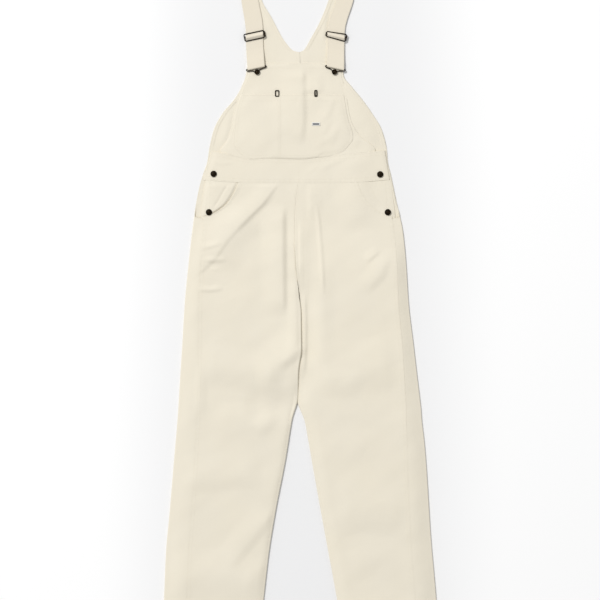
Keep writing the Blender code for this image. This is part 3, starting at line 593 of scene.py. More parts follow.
def makeStitches(name):
    first, last, facing = (np.concatenate([row[k] for row in rowsSewn]) for k in range(3))
    rowsSewn.clear()
    run = last - first
    length = np.linalg.norm(run, axis=1)[:, None]
    run = run / length
    across = np.cross(run, facing)
    across = across / np.linalg.norm(across, axis=1)[:, None]
    up = np.cross(across, run)
    middle = (first + last) / 2 + up * (stitch["height"] / 2 - stitch["sink"])
    points = (middle[:, None, :]
              + stitchPoints[None, :, 2:3] * (run * length)[:, None, :]
              + stitchPoints[None, :, 0:1] * (across * stitch["width"])[:, None, :]
              + stitchPoints[None, :, 1:2] * (up * stitch["height"])[:, None, :])
    count = len(middle)
    faces = stitchFaces[None, :, :] + np.arange(count)[:, None, None] * len(stitchPoints)
    points = (points.reshape(-1, 3) - np.array(shift)) * mm
    mesh = bpy.data.meshes.new(name)
    mesh.from_pydata(points.tolist(), [], faces.reshape(-1, 3).tolist())
    joined = bmesh.new()
    joined.from_mesh(mesh)
    bmesh.ops.recalc_face_normals(joined, faces=joined.faces)
    joined.to_mesh(mesh)
    joined.free()
    mesh.polygons.foreach_set("use_smooth", [True] * len(mesh.polygons))
    mesh.materials.append(thread)
    print(name, count, "stitches")
    return addPiece(name, mesh, "drill")


backCut = {"armholeHem": 9.0, "neckHem": 9.0, "doubled": 0.6, "rumple": 0.42, "seamRows": (2.2, 8.6),
           "edgeRows": (2.0, 8.0), "threadAbove": 0.04, "threadBelow": 0.16, "edgeBelow": 0.1}


def backLift(x, y, inner, edge, seed):
    # the back rests on the surface and rises from it a little where it is rumpled
    ease = smooth((x - inner) / 26) * smooth((edge - x) / 26) * smooth((y - garment["hemY"]) / 30)
    ease = ease * np.where(y > 60, 0.45, 1.0)
    return ease * backCut["rumple"] * (1 + crumple(x, y, seed, 1.1))


def makeBackHalf(node, half, upper, sign, seed):
    thin, doubled = garment["cloth"], backCut["doubled"]

    def edges(y):
        edge = np.where(y < 0, read(half, "side", y), read(upper, "armhole", y))
        lean = smooth((y + 385) / 60)
        below = read(half, "inseam", y) * (1 - lean) + upper[0]["seam"] * lean
        inner = np.where(y < 0, below, read(upper, "seam", y)) + garment["gap"] / 2
        return inner, edge

    def place(column, y):
        # column runs to 1 on the flat, to 2 round the side fold and to 3 over the flank
        inner, edge = edges(y)
        turn = np.radians(read(sideFold, "turn", y))
        radius = read(sideFold, "radius", y)
        arc = math.pi * radius
        safe = np.maximum(turn, 0.01)
        straight = turn < 0.01
        corner = edge - thin / 2 - np.where(straight, arc, arc / safe * np.sin(np.minimum(safe, math.pi / 2)))
        flat = inner + (corner - inner) * np.clip(column, 0, 1)
        step = np.clip(column - 1, 0, 1)
        bentX = corner + np.where(straight, arc * step, arc / safe * np.sin(safe * step))
        bentZ = np.where(straight, 0.0, arc / safe * (1 - np.cos(safe * step)))
        part = np.clip(column - 2, 0, 1)
        reach = read(half, "flank", y) - thin / 2 - radius - garment["gap"] / 2
        reach = np.maximum(reach * read(sideFold, "reach", y), 1.0)
        x = np.where(column <= 1, flat, bentX + np.cos(turn) * reach * part)
        z = backLevel + (bentZ + np.sin(turn) * reach * part)
        over = smooth((edge - x) / 20 - 0.2) * creaseHeight(legCreases, sign * x, y)
        z = z + (column > 2) * (over + lay(sign * x, y) + bodyLift(half, x, y))
        lifted = backLift(x, y, inner, corner, seed) * (column <= 1)
        bare = smooth((y + 90) / 40) * smooth((edge - x) / 2.5)
        lifted = lifted + creaseHeight(backCreases, sign * x, y) * bare
        z = z + np.where(column <= 2, np.maximum(lifted, 0) + lay(sign * x, y) * smooth((y - 72) / 16), 0)
        thick = thin + band(edge - x, backCut["armholeHem"], doubled) * smooth((y - 84) / 14) * (column <= 2)
        thick = thick + band(x - inner, backCut["neckHem"], doubled) * smooth((y - 309) / 6) * (column <= 1)
        thick = np.minimum(thick, thin + doubled)
        z = z + (thick - thin) / 2
        return sign * x, y, z, thick - read(sideFold, "thin", y) * smooth(column - 1)

    across = np.concatenate((spaced(0, 1, 0.026, 0.05, 0.006), 1 + np.linspace(0, 1, 11)[1:],
                             2 + spaced(0, 1, 0.12, 0.22, 0.04)[1:]))
    stops = np.concatenate((spaced(garment["hemY"], -110, 5.2, 14, 1.6), np.arange(-107, -89, 1.6),
                            np.arange(-88, -72, 0.8), np.arange(-71, -38, 2.4), np.arange(-38, 302, 4.6),
                            np.arange(302, 318, 0.9), spaced(318, upper[-1]["y"], 4.2)))
    piece = makeSheet(node, across, np.unique(stops), place, drill,
                      crisp=lambda column, y: (column > 2.5) | ((column < 0.01) & (y < 307)))

    # rows on the outer face, which lies downwards
    y = np.linspace(-1130, 300, 700)
    inner, edge = edges(y)
    for distance in backCut["seamRows"]:
        x = inner + distance
        sewAlong(sign * x, y, backLift(x, y, inner, edge, seed) + backCut["threadBelow"], down)
    hemX = np.linspace(half[0]["inseam"] + 4, half[0]["side"] - 6, 60)
    sewAlong(sign * hemX, garment["hemY"] + garment["hemRow"], backCut["threadBelow"], down)

    def raised(x, y, distance):
        # beside the centre seam or the neck
        lifted = backLift(x, y, x - distance, x + 200, seed)
        return np.maximum(lifted + creaseHeight(backCreases, sign * x, y), 0)

    # rows on both faces of the armhole and the neck
    for distance in backCut["edgeRows"]:
        y = np.linspace(-38, 440, 240)
        x = edges(y)[1] - distance
        lifted = creaseHeight(backCreases, sign * x, y) * smooth((y + 90) / 40) * smooth(distance / 2.5)
        lifted = np.maximum(lifted, 0) + lay(sign * x, y) * smooth((y - 72) / 16)
        sewAlong(sign * x, y, thin + doubled * smooth((y - 84) / 14) + lifted)
        sewAlong(sign * x, y, lifted + backCut["edgeBelow"], down)
        y = np.linspace(314, 440, 70)
        x = read(upper, "seam", y) + distance
        sewAlong(sign * x, y, thin + doubled + raised(x, y, distance))
        sewAlong(sign * x, y, backCut["edgeBelow"], down)
    # and inside the centre-back seam, which shows above the bib
    y = np.linspace(60, 300, 120)
    for distance in backCut["seamRows"]:
        x = read(upper, "seam", y) + distance
        lifted = raised(x, y, distance) + lay(sign * x, y) * smooth((y - 72) / 16)
        sewAlong(sign * x, y, thin + lifted + backCut["threadAbove"])
    return piece


frontCut = {"hem": 12.0, "seam": 9.0, "doubled": 0.8, "inward": 0.35, "overhang": 4.0, "gape": 0.9,
            "rows": (2.2, 8.2), "inseamRow": 6.4, "lapRow": 3.6,
            "flyRows": ([(12, -85), (42, -85)], [(13, -85), (12.5, -251)],
                        [(24, -223), (24, -300), (21, -352), (14, -381)])}


def frontEdge(half, y):
    outseam = read(half, "side", y) - read(half, "flank", y) + garment["gap"] / 4
    last = pocketOpening[-1]["x"]
    eased = last + (outseam - last) * smooth((garment["openingY"] - y) / 10)
    return np.where(y >= garment["openingY"], read(pocketOpening, "x", y), eased)


def frontLevel(half, levels, x, y, sign):
    # middle of the front cloth, with its creases
    inner = read(half, "inseam", y)
    outer = frontEdge(half, y)
    middle = read(levels, "middle", y)
    z = middle + (read(levels, "inner", y) - middle) * fall((x - inner - 4) / 42)
    z = z + (read(levels, "side", y) - middle) * fall((outer - x) / 34)
    fade = smooth((read(half, "side", y) - x) / 20 - 0.2) * smooth(-y / 10)
    fade = fade * (1 - fall((x - inner) / 9 + 0.1) * smooth((-y - 470) / 40))
    drawn = pucker(outer - x - 5, y, 3.0 + sign, 0.2)
    drawn = drawn + pucker(x - inner - 5, y, 5.0 + sign, 0.2) * smooth((-y - 420) / 100)
    z = z + creaseHeight(legCreases, sign * x, y) * fade + drawn * smooth(-y / 10)
    if sign < 0:    # the right pocket gapes
        gape = frontCut["gape"] * smooth((x - outer + 9) / 9) * smooth(-y / 16) * smooth((y + 80) / 12)
    else:
        gape = 0
    return z + gape + lay(sign * x, y) + bodyLift(half, x, y)


def makeFrontLeg(node, half, levels, sign):
    thin = garment["cloth"]

    def thickness(x, y, inner, outer):
        # the doubled cloth of seams and hem lies inside, so it hardly shows on the face
        doubled = frontCut["doubled"]
        thick = thin + band(outer - x, frontCut["seam"], doubled) * smooth((-90 - y) / 30)
        thick = thick + band(y - garment["hemY"], frontCut["hem"], doubled)
        thick = thick + band(x - inner, frontCut["seam"], doubled) * smooth(-y / 14) * 0.5
        return np.minimum(thick, thin + doubled)

    def place(column, y):
        # column runs from -1 to 0 round the rolled inner edge, and to 1 across the leg
        inner = read(half, "inseam", y) + garment["gap"] / 2 - 0.11 * smooth((y + 250) / 20)
        curl = np.radians(read(levels, "curl", y))
        radius = read(levels, "radius", y)
        plain = curl < 0.02
        overhang = frontCut["overhang"] * smooth(curl / math.radians(60) - 1.5)
        rolled = radius * np.sin(np.minimum(curl, math.pi / 2)) + thin / 2 * smooth(curl)
        root = inner - overhang + rolled
        start = np.where(plain, root + 0.8, root)
        outer = frontEdge(half, y)
        x = start + (outer - start) * np.clip(column, 0, 1)
        step = np.clip(-column, 0, 1)
        rootZ = frontLevel(half, levels, root, y, sign)
        curlX = np.where(plain, root + 0.8 * (1 - step), root - radius * np.sin(curl * step))
        curlZ = np.where(plain, rootZ, rootZ - radius * (1 - np.cos(curl * step)))
        thick = thickness(x, y, start, outer)
        extra = (thick - thin) * (1 - step)
        z = np.where(column < 0, curlZ, frontLevel(half, levels, x, y, sign)) - extra * frontCut["inward"]
        x = np.where(column < 0, curlX, x)
        thick = np.where(column < 0, thin + extra, thick)
        return sign * x, settle(sign * x, y - garment["gap"] / 6), z, thick

    def crisp(column, y):
        sewnSide = (column > 0.99) & (y < garment["openingY"] - 6)
        return sewnSide | (y > -0.01) | ((column < -0.99) & (y > -230))

    across = np.concatenate((-np.linspace(1, 0, 9)[:-1], spaced(0, 1, 0.0145, 0.05, 0.006)))
    stops = np.concatenate((spaced(garment["hemY"], -580, 3.6, 14, 1.6), np.arange(-577, -106, 3.1),
                            np.arange(-106, 0, 1.9), (0,)))
    piece = makeSheet(node, across, np.unique(stops), place, drill, crisp)

    def top(x, y):
        # on the upper face, x measured away from the midline
        thick = thickness(x, y, read(half, "inseam", y), frontEdge(half, y))
        z = frontLevel(half, levels, x, y, sign) + thin / 2 + (thick - thin) * 0.15
        return sign * x, settle(sign * x, y - garment["gap"] / 2), z

    y = np.linspace(-1136, -96, 500)
    opening = np.linspace(-79, -2, 60)
    for distance in frontCut["rows"]:
        sew(zip(frontEdge(half, y) - distance, y), top)
        sew(zip(read(pocketOpening, "x", opening) - distance * 1.1, opening), top)
    y = np.linspace(-1136, -545, 300)
    sew(zip(read(half, "inseam", y) + frontCut["inseamRow"], y), top)
    hemRow = garment["hemY"] + garment["hemRow"]
    sew([(half[0]["inseam"] + 4, hemRow), (half[0]["side"] - half[0]["flank"] - 3, hemRow)], top)
    y = np.linspace(-232, -4, 100)
    sew(zip(read(half, "inseam", y) + frontCut["lapRow"], y), top)
    if sign > 0:
        for path in frontCut["flyRows"]:
            sew(path, top)
    return piece


facingRows = table(
    "y inner outer",
    (0, 122, 217), (-24, 130, 221.5), (-48, 143, 225), (-68, 158, 227.5), (-104, 176, 228))
facingCut = {"rise": 1.6, "dip": 1.5, "fold": 0.9, "slope": 0.62, "thread": 0.04,
             "rows": ([(169, -12), (191, -48)], [(206, -4), (208, -60)])}


def facingLevel(x, y, sign):
    # the facing comes up to the front's face beside the opening, further off on the side that dips
    past = x - read(pocketOpening, "x", y)
    start, reach = (0.05, 0.3) if sign > 0 else (0.6, 9)
    rise = facingCut["rise"] * smooth((past - start) / reach) * smooth((y + 84) / 14)
    if sign < 0:
        dip = smooth((past - 1) / 11) * smooth((218 - x) / 16) * smooth(-y / 14) * smooth((y + 80) / 14)
        across = (x - 169) * 0.853 + (y + 12) * 0.522
        fold = np.exp(-(across / 3.2) ** 2) * smooth((-y - 4) / 10) * smooth((y + 62) / 14)
        rise = rise + facingCut["dip"] * dip - facingCut["fold"] * fold
    else:
        rise = rise * (1 - facingCut["slope"] * smooth((past - 3) / 26) * smooth((y + 74) / 20))
    rise = rise * smooth((read(facingRows, "outer", y) - x) / 9)
    return firstLayer + np.maximum(rise, 0) + lay(sign * x, y)


def makeFacing(node, sign):
    def place(column, y):
        # column 0 runs along the opening's edge
        inner, outer = (read(facingRows, side, y) for side in ("inner", "outer"))
        opening = np.minimum(read(pocketOpening, "x", y), outer - 4)
        x = opening + np.where(column < 0, (opening - inner) * column, (outer - opening) * column)
        return sign * x, settle(sign * x, y - garment["gap"] / 2), facingLevel(x, y, sign), garment["cloth"]

    def top(x, y):
        height = facingLevel(x, y, sign) + garment["cloth"] / 2 + facingCut["thread"]
        return sign * x, settle(sign * x, y), height

    across = np.concatenate((np.linspace(-1, 0, 12)[:-1], np.linspace(0, 0.03, 9)[:-1],
                             np.linspace(0.03, 1, 62)))
    piece = makeSheet(node, across, np.linspace(facingRows[-1]["y"], 0, 70), place, drill,
                      crisp=lambda column, y: y > -0.01)
    for path in facingCut["rows"]:
        sew(path, top)
    return piece


# the ends' drop and reach are for the right and the left
waistCut = {"edge": 9.0, "cloth": 1.8, "doubled": 0.15, "endDrop": (2.3, 1.6), "endThin": 1.2,
            "endReach": (16.0, 9.0), "rows": (0.045, 0.14, 0.86, 0.955), "endRow": 2.6}


def waistbandEnd(part):
    return [low + (high - low) * part for low, high in zip(waistbandEnds["low"], waistbandEnds["high"])]


def waistTop(x, part):
    # the waistband's face at x and at a share of its height
    left, right = waistbandEnd(part)
    low = read(waist, "seam", x, "x") + garment["gap"] / 4
    high = read(waist, "top", x, "x") - garment["gap"] / 4
    y = low + (high - low) * part
    fromEnd = np.minimum(x - left, right - x)
    near = np.minimum(np.minimum(y - low, high - y), fromEnd)
    thick = waistCut["cloth"] + band(near, waistCut["edge"], waistCut["doubled"])
    drop = np.where(x < 0, *waistCut["endDrop"]) * fall(fromEnd / np.where(x < 0, *waistCut["endReach"]))
    z = secondLayer + garment["cloth"] / 2 + lay(x, y) - drop
    z = z + creaseHeight(waistCreases, x, y) * smooth(near / 9)
    z = z + pucker(y - low - 5, x, 1.0, 0.25) + pucker(high - y - 5, x, 2.0, 0.2)
    return x, y, z, thick


def makeWaistband(node):
    def place(column, row):
        left, right = waistbandEnd(row)
        x, y, top, thick = waistTop(left + (right - left) * column, row)
        reach = np.where(x < 0, *waistCut["endReach"])
        thick = thick - waistCut["endThin"] * fall(np.minimum(x - left, right - x) / reach)
        return x, y, top - thick / 2, thick

    def top(x, part):
        return waistTop(x, part)[:3]

    piece = makeSheet(node, spaced(0, 1, 0.0075), spaced(0, 1, 0.045), place, drillAcross,
                      crisp=lambda column, row: (row < 0.01) | (row > 0.99))
    for part in waistCut["rows"]:
        left, right = waistbandEnd(part)
        sew([(left + 3, part), (right - 3, part)], top)
    parts = np.linspace(0.03, 0.97, 30)
    left, right = waistbandEnd(parts)
    for x in (left + waistCut["endRow"], right - waistCut["endRow"]):
        sewAlong(*top(x, parts))
    sewAlong(*top(1.0, np.linspace(0.02, 0.62, 20)))
    return piece


bibCut = {"pressed": 1.0, "clear": 0.15, "low": 78, "high": 282, "sideRows": (2.0, 7.4),
          "topRows": (269.5, 279.8)}


def bibSides(y):
    return read(bibEdges, "right", y), read(bibEdges, "left", y)


def bibThickness(x, y):
    # pressed thin at its flared lower corners, where it lies hard on the back
    right, left = bibSides(y)
    near = np.minimum(np.minimum(x - right, left - x) / np.where(x > 0, 16, 8), (bibCut["high"] - y) / 8)
    return garment["cloth"] - bibCut["pressed"] * fall(near) * (0.85 + 0.15 * fall((y - 120) / 90))


def bibLevel(x, y):
    # middle of the bib cloth, which drops to the back's face at its sides and top
    right, left = bibSides(y)
    top = (bibCut["high"] - y) * (0.45 + 0.55 * smooth((np.abs(x) - 45) / 18))
    rim = np.minimum(np.minimum(x - right, left - x), top)
    thick = bibThickness(x, y)
    face = secondLayer + garment["cloth"] / 2 + (2.6 - secondLayer) * smooth((y - 70) / 180)
    rimFace = garment["cloth"] + bibCut["clear"] + thick + creaseHeight(backCreases, x, y)
    reach = np.where(x > 0, 26, 13 + 34 * fall((y - 150) / 50))
    face = face + (np.minimum(face, rimFace) - face) * fall(rim / reach)
    creases = creaseHeight(bibBodyCreases, x, y) * smooth(rim / 16) * fall((y - 244) / 40)
    return face - thick / 2 + creases + lay(x, y)


def bibTop(x, y):
    return x, y, bibLevel(x, y) + bibThickness(x, y) / 2


def makeBib(node):
    start, end = waistbandEnds["high"]
    low, high = bibCut["low"], bibCut["high"]

    def place(column, row):
        # column and row run from 0 to 1, row 0 on the waistband's seam
        bandX = start + (end - start) * (1 / 18 + column * 16 / 18)
        seam = read(waist, "top", bandX, "x") + garment["gap"] / 4
        y = low + (high - low) * row
        right, left = bibSides(y)
        x = right * (1 - column) + left * column
        blend = smooth((y - low) / 14)
        x = bandX * (1 - blend) + x * blend
        y = y + (seam - low) * fall((y - low) / 42)
        return x, y, bibLevel(x, y), bibThickness(x, y)

    piece = makeSheet(node, spaced(0, 1, 0.012, 0.05, 0.006), spaced(0, 1, 0.012, 0.05, 0.007), place, drill,
                      crisp=lambda column, row: row < 0.01)
    y = np.linspace(112, 278, 80)
    right, left = bibSides(y)
    for distance in bibCut["sideRows"]:
        sew(zip(right + distance, y), bibTop)
        sew(zip(left - distance, y), bibTop)
    for y in bibCut["topRows"]:
        sew([(-115, y), (100, y)], bibTop)
    return piece


# the soft rim is for the right and the left
pocketCut = {"rim": 6.0, "softRim": (40.0, 22.0), "pressed": 0.95, "pressedMore": 0.15, "gap": 0.1,
             "sink": 0.2, "lean": 57.0, "edgeRows": (2.2, 7.8), "mouthRows": (192.5, 205.6),
             "pencilRows": (-47.0, -41.5)}
pocketLow, pocketHigh = pocketEdges[-1]["y"], pocketEdges[0]["y"]


def pocketSides(row):
    return read(pocketEdges, "right", row), read(pocketEdges, "left", row)


def pocketLean(x, row):
    # the lower rows of the pocket follow the waistband's top edge
    return (read(waist, "top", x, "x") - pocketCut["lean"]) * fall((row - pocketLow) / 40)


def pocketRim(x, y):
    row = y
    for sweep in range(4):
        row = y - pocketLean(x, row)
    right, left = pocketSides(row)
    ends = np.minimum((row - pocketLow) * 1.2, pocketHigh - row)
    return np.maximum(np.minimum(np.minimum(x - right, left - x), ends), 0)


def pocketSoft(x, y):
    # its edges are pressed flat, softly but for the middle of the bottom
    return np.maximum(smooth((np.abs(x + 8) - 52) / 16), smooth((y - 130) / 40))


def pocketLevel(x, y):
    inside = smooth(pocketRim(x, y) / 12)
    mouth = smooth((y - 192) / 10)
    gap = pocketCut["gap"] - pocketCut["sink"] * pocketSoft(x, y) * (1 - inside) * (1 - mouth)
    return bibTop(x, y)[2] + gap + garment["cloth"] / 2 + creaseHeight(bibCreases, x, y) * inside


def pocketThickness(x, y):
    away = pocketSoft(x, y)
    pressed = pocketCut["pressed"] + pocketCut["pressedMore"] * away
    reach = pocketCut["rim"] + (np.where(x < 0, *pocketCut["softRim"]) - pocketCut["rim"]) * away
    return garment["cloth"] - pressed * fall(pocketRim(x, y) / reach)


def pocketTop(x, y):
    return x, y, pocketLevel(x, y) + pocketThickness(x, y) - garment["cloth"] / 2


def makeBibPocket(node):
    def place(column, row):
        right, left = pocketSides(row)
        x = right * (1 - column) + left * column
        y = row + pocketLean(x, row)
        thick = pocketThickness(x, y)
        return x, y, pocketLevel(x, y) + (thick - garment["cloth"]) / 2, thick

    piece = makeSheet(node, spaced(0, 1, 0.0125, 0.05, 0.006), spaced(pocketLow, pocketHigh, 2.2, 12, 1.0),
                      place, drill)
    # rows of stitches inside its side and lower edges
    rows = np.linspace(pocketHigh - 3, pocketLow, 120)
    right, left = pocketSides(rows)
    x = np.concatenate((right, np.linspace(right[-1], left[-1], 60)[1:-1], left[::-1]))
    rows = np.concatenate((rows, np.full(58, pocketLow), rows[::-1]))
    edge = np.stack((x, rows + pocketLean(x, rows)), axis=1)
    heading = np.gradient(edge, axis=0)
    for sweep in range(6):
        heading[1:-1] = heading[1:-1] * 0.5 + (heading[:-2] + heading[2:]) * 0.25
    inward = np.stack((-heading[:, 1], heading[:, 0]), axis=1) / np.hypot(*heading.T)[:, None]
    for distance in pocketCut["edgeRows"]:
        sew(edge + inward * distance, pocketTop)
    for y in pocketCut["mouthRows"]:
        right, left = pocketSides(y)
        sew([(right + 3, y), (left - 3, y)], pocketTop)
    for x in pocketCut["pencilRows"]:
        sew([(x, 205), (x, 61)], pocketTop)
    return piece


slider = {"y": 345.0, "width": 47.6, "height": 16.4, "corner": 3.0, "wire": 1.1, "level": 6.7}
buckle = {"y": 271.0, "wire": 1.2, "level": 6.7, "drop": 11.0, "slot": 4.8}
strap = {"edgeThick": 1.25, "rise": 0.35, "foldRadius": 1.8, "rowIn": 2.4, "rowAbove": 0.8}


def strapRun():
    # stations along a strap: y, height, share of the front, share of the end's slant
    low = garment["strapCloth"] / 2
    fold = strap["foldRadius"]
    run = [(445, low, 0, 0), (475, low, 0, 0), (505, low, 0, 0)]
    turnY = garment["shoulderY"] - low - fold
    for step in range(5):
        angle = math.radians(-90 + 45 * step)
        run.append((turnY + fold * math.cos(angle), low + fold + fold * math.sin(angle), step / 4, 0))
    run += [(500, 4.3, 1, 0), (470, 3.7, 1, 0), (435, 3.3, 1, 0.05), (405, 3.3, 1, 0.5), (378, 3.6, 1, 1)]
    over = slider["level"] + slider["wire"] + garment["gap"] + low
    hump = [(12.5, 4.2), (8.4, 4.2), (4.0, 6.6), (1.4, over)]
    hump += [(-1.4, over), (-4.0, 6.6), (-8.4, 4.3), (-12.5, 4.3)]
    run += [(slider["y"] + offset, z, 1, 1) for offset, z in hump]
    run += [(314, 4.4, 1, 1), (301, 5.6, 1, 1), (287, 7.6, 1, 1)]
    around = buckle["wire"] + garment["gap"] + low
    for step in range(9):
        angle = math.radians(90 + 22.5 * step)
        run.append((buckle["y"] + around * math.cos(angle), buckle["level"] + around * math.sin(angle), 1, 1))
    run += [(290, 4.3, 1, 1), (304, 2.5, 1, 1), (slider["y"] + 6, 2.4, 1, 1)]
    run = np.array(run, float)
    travelled = np.concatenate(([0], np.cumsum(np.hypot(*np.diff(run[:, :2], axis=0).T))))
    at = np.linspace(0, travelled[-1], int(travelled[-1] / 0.9) + 1)
    fine = np.stack([np.interp(at, travelled, run[:, k]) for k in range(4)], axis=1)
    for sweep in range(2):
        fine[1:-1] = fine[1:-1] * 0.5 + (fine[:-2] + fine[2:]) * 0.25
    return fine


def strapMiddle(route, y, side):
    back = read(route, "back", y)
    return back + (read(route, "front", y) - back) * side


def makeStrap(node, route, sign):
    run = strapRun()
    half = garment["strapWidth"] / 2
    heading = np.gradient(run[:, :2], axis=0)
    heading = heading / np.linalg.norm(heading, axis=1)[:, None]

    def spot(station, offset):
        y, z, side, slant = run[station].T
        lean = -sign * math.tan(garment["slant"]) * slant
        return strapMiddle(route, y, side) + offset, y + lean * offset, z

    def place(column, row):
        thick = strap["edgeThick"] + strap["rise"] * smooth((half - np.abs(column)) / 1.6)
        return (*spot(row.astype(int), column), thick)

    piece = makeSheet(node, spaced(-half, half, 3.0, 4.2, 0.7), np.arange(len(run)), place, strapDrill)
    for offset in (-half + strap["rowIn"], half - strap["rowIn"]):
        for first, last in ((2, 300), (300, len(run) - 1)):
            stations = np.arange(first, min(last, len(run) - 1))
            x, y, z = spot(stations, offset)
            ahead, rising = heading[stations].T
            facing = np.stack((np.zeros(len(stations)), rising, -ahead), axis=1)
            sewAlong(x, y + rising * strap["rowAbove"], z - ahead * strap["rowAbove"], facing)
    return piece


backHalfRight = makeBackHalf("back_half_right", rightHalf, rightBack, -1, 71)
backHalfLeft = makeBackHalf("back_half_left", leftHalf, leftBack, 1, 72)
backStitches = makeStitches("back_stitches")
facingRight = makeFacing("pocket_facing_right", -1)
facingLeft = makeFacing("pocket_facing_left", 1)
frontLegRight = makeFrontLeg("front_leg_right", rightHalf, rightLevels, -1)
frontLegLeft = makeFrontLeg("front_leg_left", leftHalf, leftLevels, 1)
frontStitches = makeStitches("front_stitches")
waistbandCloth = makeWaistband("waistband")
bibCloth = makeBib("bib")
bibPocket = makeBibPocket("bib_pocket")
bibStitches = makeStitches("bib_stitches")
strapRight = makeStrap("strap_right", rightStrap, -1)
strapLeft = makeStrap("strap_left", leftStrap, 1)
strapStitches = makeStitches("strap_stitches")
print("cloth laid out")


def makeWire(points, radius, closed=True):
    curve = bpy.data.curves.new("wire", "CURVE")
    curve.dimensions = "3D"
    curve.bevel_depth = radius * mm
    curve.bevel_resolution = 3
    curve.resolution_u = 1
    curve.use_fill_caps = not closed
    spline = curve.splines.new("POLY")
    spline.points.add(len(points) - 1)
    for knot, point in zip(spline.points, points):
        knot.co = (*((point - shift) * mm), 1)
    spline.use_cyclic_u = closed
    source = bpy.data.objects.new("wire_path", curve)
    bpy.context.collection.objects.link(source)
    graph = bpy.context.evaluated_depsgraph_get()
    mesh = bpy.data.meshes.new_from_object(source.evaluated_get(graph))
    bpy.data.objects.remove(source)
    wire = bmesh.new()
    wire.from_mesh(mesh)
    bpy.data.meshes.remove(mesh)
    bmesh.ops.remove_doubles(wire, verts=wire.verts, dist=0.00001)
    bmesh.ops.recalc_face_normals(wire, faces=wire.faces)
    return wire


def finishMetal(name, node, *parts):
    # join finished meshes into one piece with the bronze on it
    mesh = bpy.data.meshes.new(name)
    whole = bmesh.new()
    for part in parts:
        spare = bpy.data.meshes.new("spare")
        part.to_mesh(spare)
        part.free()
        whole.from_mesh(spare)
        bpy.data.meshes.remove(spare)
    whole.to_mesh(mesh)
    whole.free()
    mesh.materials.clear()
    mesh.materials.append(bronze)
    for face in mesh.polygons:
        face.use_smooth = True
        face.material_index = 0
    mesh.set_sharp_from_angle(angle=math.radians(45))
    return addPiece(name, mesh, "bronze", node)


def turned(points, angle, *place):
    turn = Matrix.Rotation(angle, 3, "Z")
    return [turn @ Vector((*point, 0)[:3]) + Vector(place) for point in points]


def roundRectangle(width, height, corner, steps):
    points = []
    for turn, (side, end) in enumerate([(1, 1), (-1, 1), (-1, -1), (1, -1)]):
        for step in range(steps + 1):
            angle = math.pi / 2 * (turn + step / steps)
            points.append((side * (width / 2 - corner) + corner * math.cos(angle),
                           end * (height / 2 - corner) + corner * math.sin(angle)))
    return points


def makeSlider(node, route, sign):
    # a bent wire frame, a bar across it, and a sleeve where the wire's ends meet
    width, height, wire = slider["width"], slider["height"], slider["wire"]
    where = (-sign * garment["slant"], strapMiddle(route, slider["y"], 1), slider["y"], slider["level"])
    outline = roundRectangle(width, height, slider["corner"], 6)
    if sign > 0:
        outline = [(x, y * (1 - 0.5 * max(0, -x - width / 2 + 7) / 7)) for x, y in outline]
    ring = makeWire(turned(outline, *where), wire + 0.25)
    bar = makeWire(turned([(-width / 2, 0), (width / 2, 0)], *where), wire * 0.9, False)
    sleeve = [(width / 2 + 0.3, -height / 2 + 1.6), (width / 2 + 0.3, height / 2 - 1.6)]
    finishMetal(node + "_wire", node, ring, bar, makeWire(turned(sleeve, *where), wire + 0.9, False))


def makeBuckle(node, route, sign):
    half = [(23.6, -1.2, 0.0), (23.2, -3.6, -0.2), (19.6, -4.8, -0.5), (12.0, -5.8, -1.3), (7.4, -7.2, -1.9)]
    points = [(-22.4, 0, 0), (22.4, 0, 0)] + half
    slot, drop = buckle["slot"], buckle["drop"]
    for step in range(7):
        angle = math.radians(45 - 33.75 * step * 0.99)
        points.append((slot * math.cos(angle), -drop + slot * math.sin(angle), -1.9))
    points += [(-x, y, z) for x, y, z in reversed(half)]
    middle = strapMiddle(route, buckle["y"], 1)
    placed = turned(points, -sign * garment["slant"], middle, buckle["y"], buckle["level"])
    # its bends are cut once across the corner
    bent = []
    for one, two in zip(placed, placed[1:] + placed[:1]):
        bent += [one.lerp(two, 0.25), one.lerp(two, 0.75)]
    finishMetal(node + "_wire", node, makeWire(bent, buckle["wire"]))


button = {"bibRadius": 6.5, "sideRadius": 7.5, "post": 2.5, "head": 2.5, "dome": 0.4}


def makeButton(node, radius, domed):
    # turned from a profile, standing where its solid stands
    low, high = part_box(node)
    x, y = (low[0] + high[0]) / 2, (low[1] + high[1]) / 2
    rise = float(lay(x / mm + shift.x, y / mm + shift.y))
    foot, crown = low[2] / mm + rise, high[2] / mm + rise
    post, head = button["post"], crown - button["head"]
    dome = domed * button["dome"]
    profile = [(0, foot), (post, foot), (post, head), (radius - 1.2, head), (radius - 0.4, head + 0.35),
               (radius, head + 1.1), (radius - 0.25, head + 1.8), (radius - 0.95, head + 2.35),
               (radius - 1.7, head + 2.3), (radius - 2.2, head + 1.85), (radius * 0.42, head + 1.6 + dome),
               (radius * 0.3, head + 2.0 + dome), (radius * 0.14, head + 2.25), (0, head + 2.3)]
    solid = bmesh.new()
    line = [solid.verts.new((px * mm, 0, pz * mm)) for px, pz in profile]
    for one, two in zip(line, line[1:]):
        solid.edges.new((one, two))
    bmesh.ops.spin(solid, geom=solid.verts[:] + solid.edges[:], axis=(0, 0, 1), cent=(0, 0, 0),
                   angle=2 * math.pi, steps=36, use_merge=True)
    bmesh.ops.remove_doubles(solid, verts=solid.verts, dist=0.00001)
    bmesh.ops.recalc_face_normals(solid, faces=solid.faces)
    bmesh.ops.translate(solid, vec=(x, y, 0), verts=solid.verts)
    finishMetal(node + "_metal", node, solid)


clip = {"y": 210.0, "height": 13.2, "corner": 1.2, "above": 1.3}


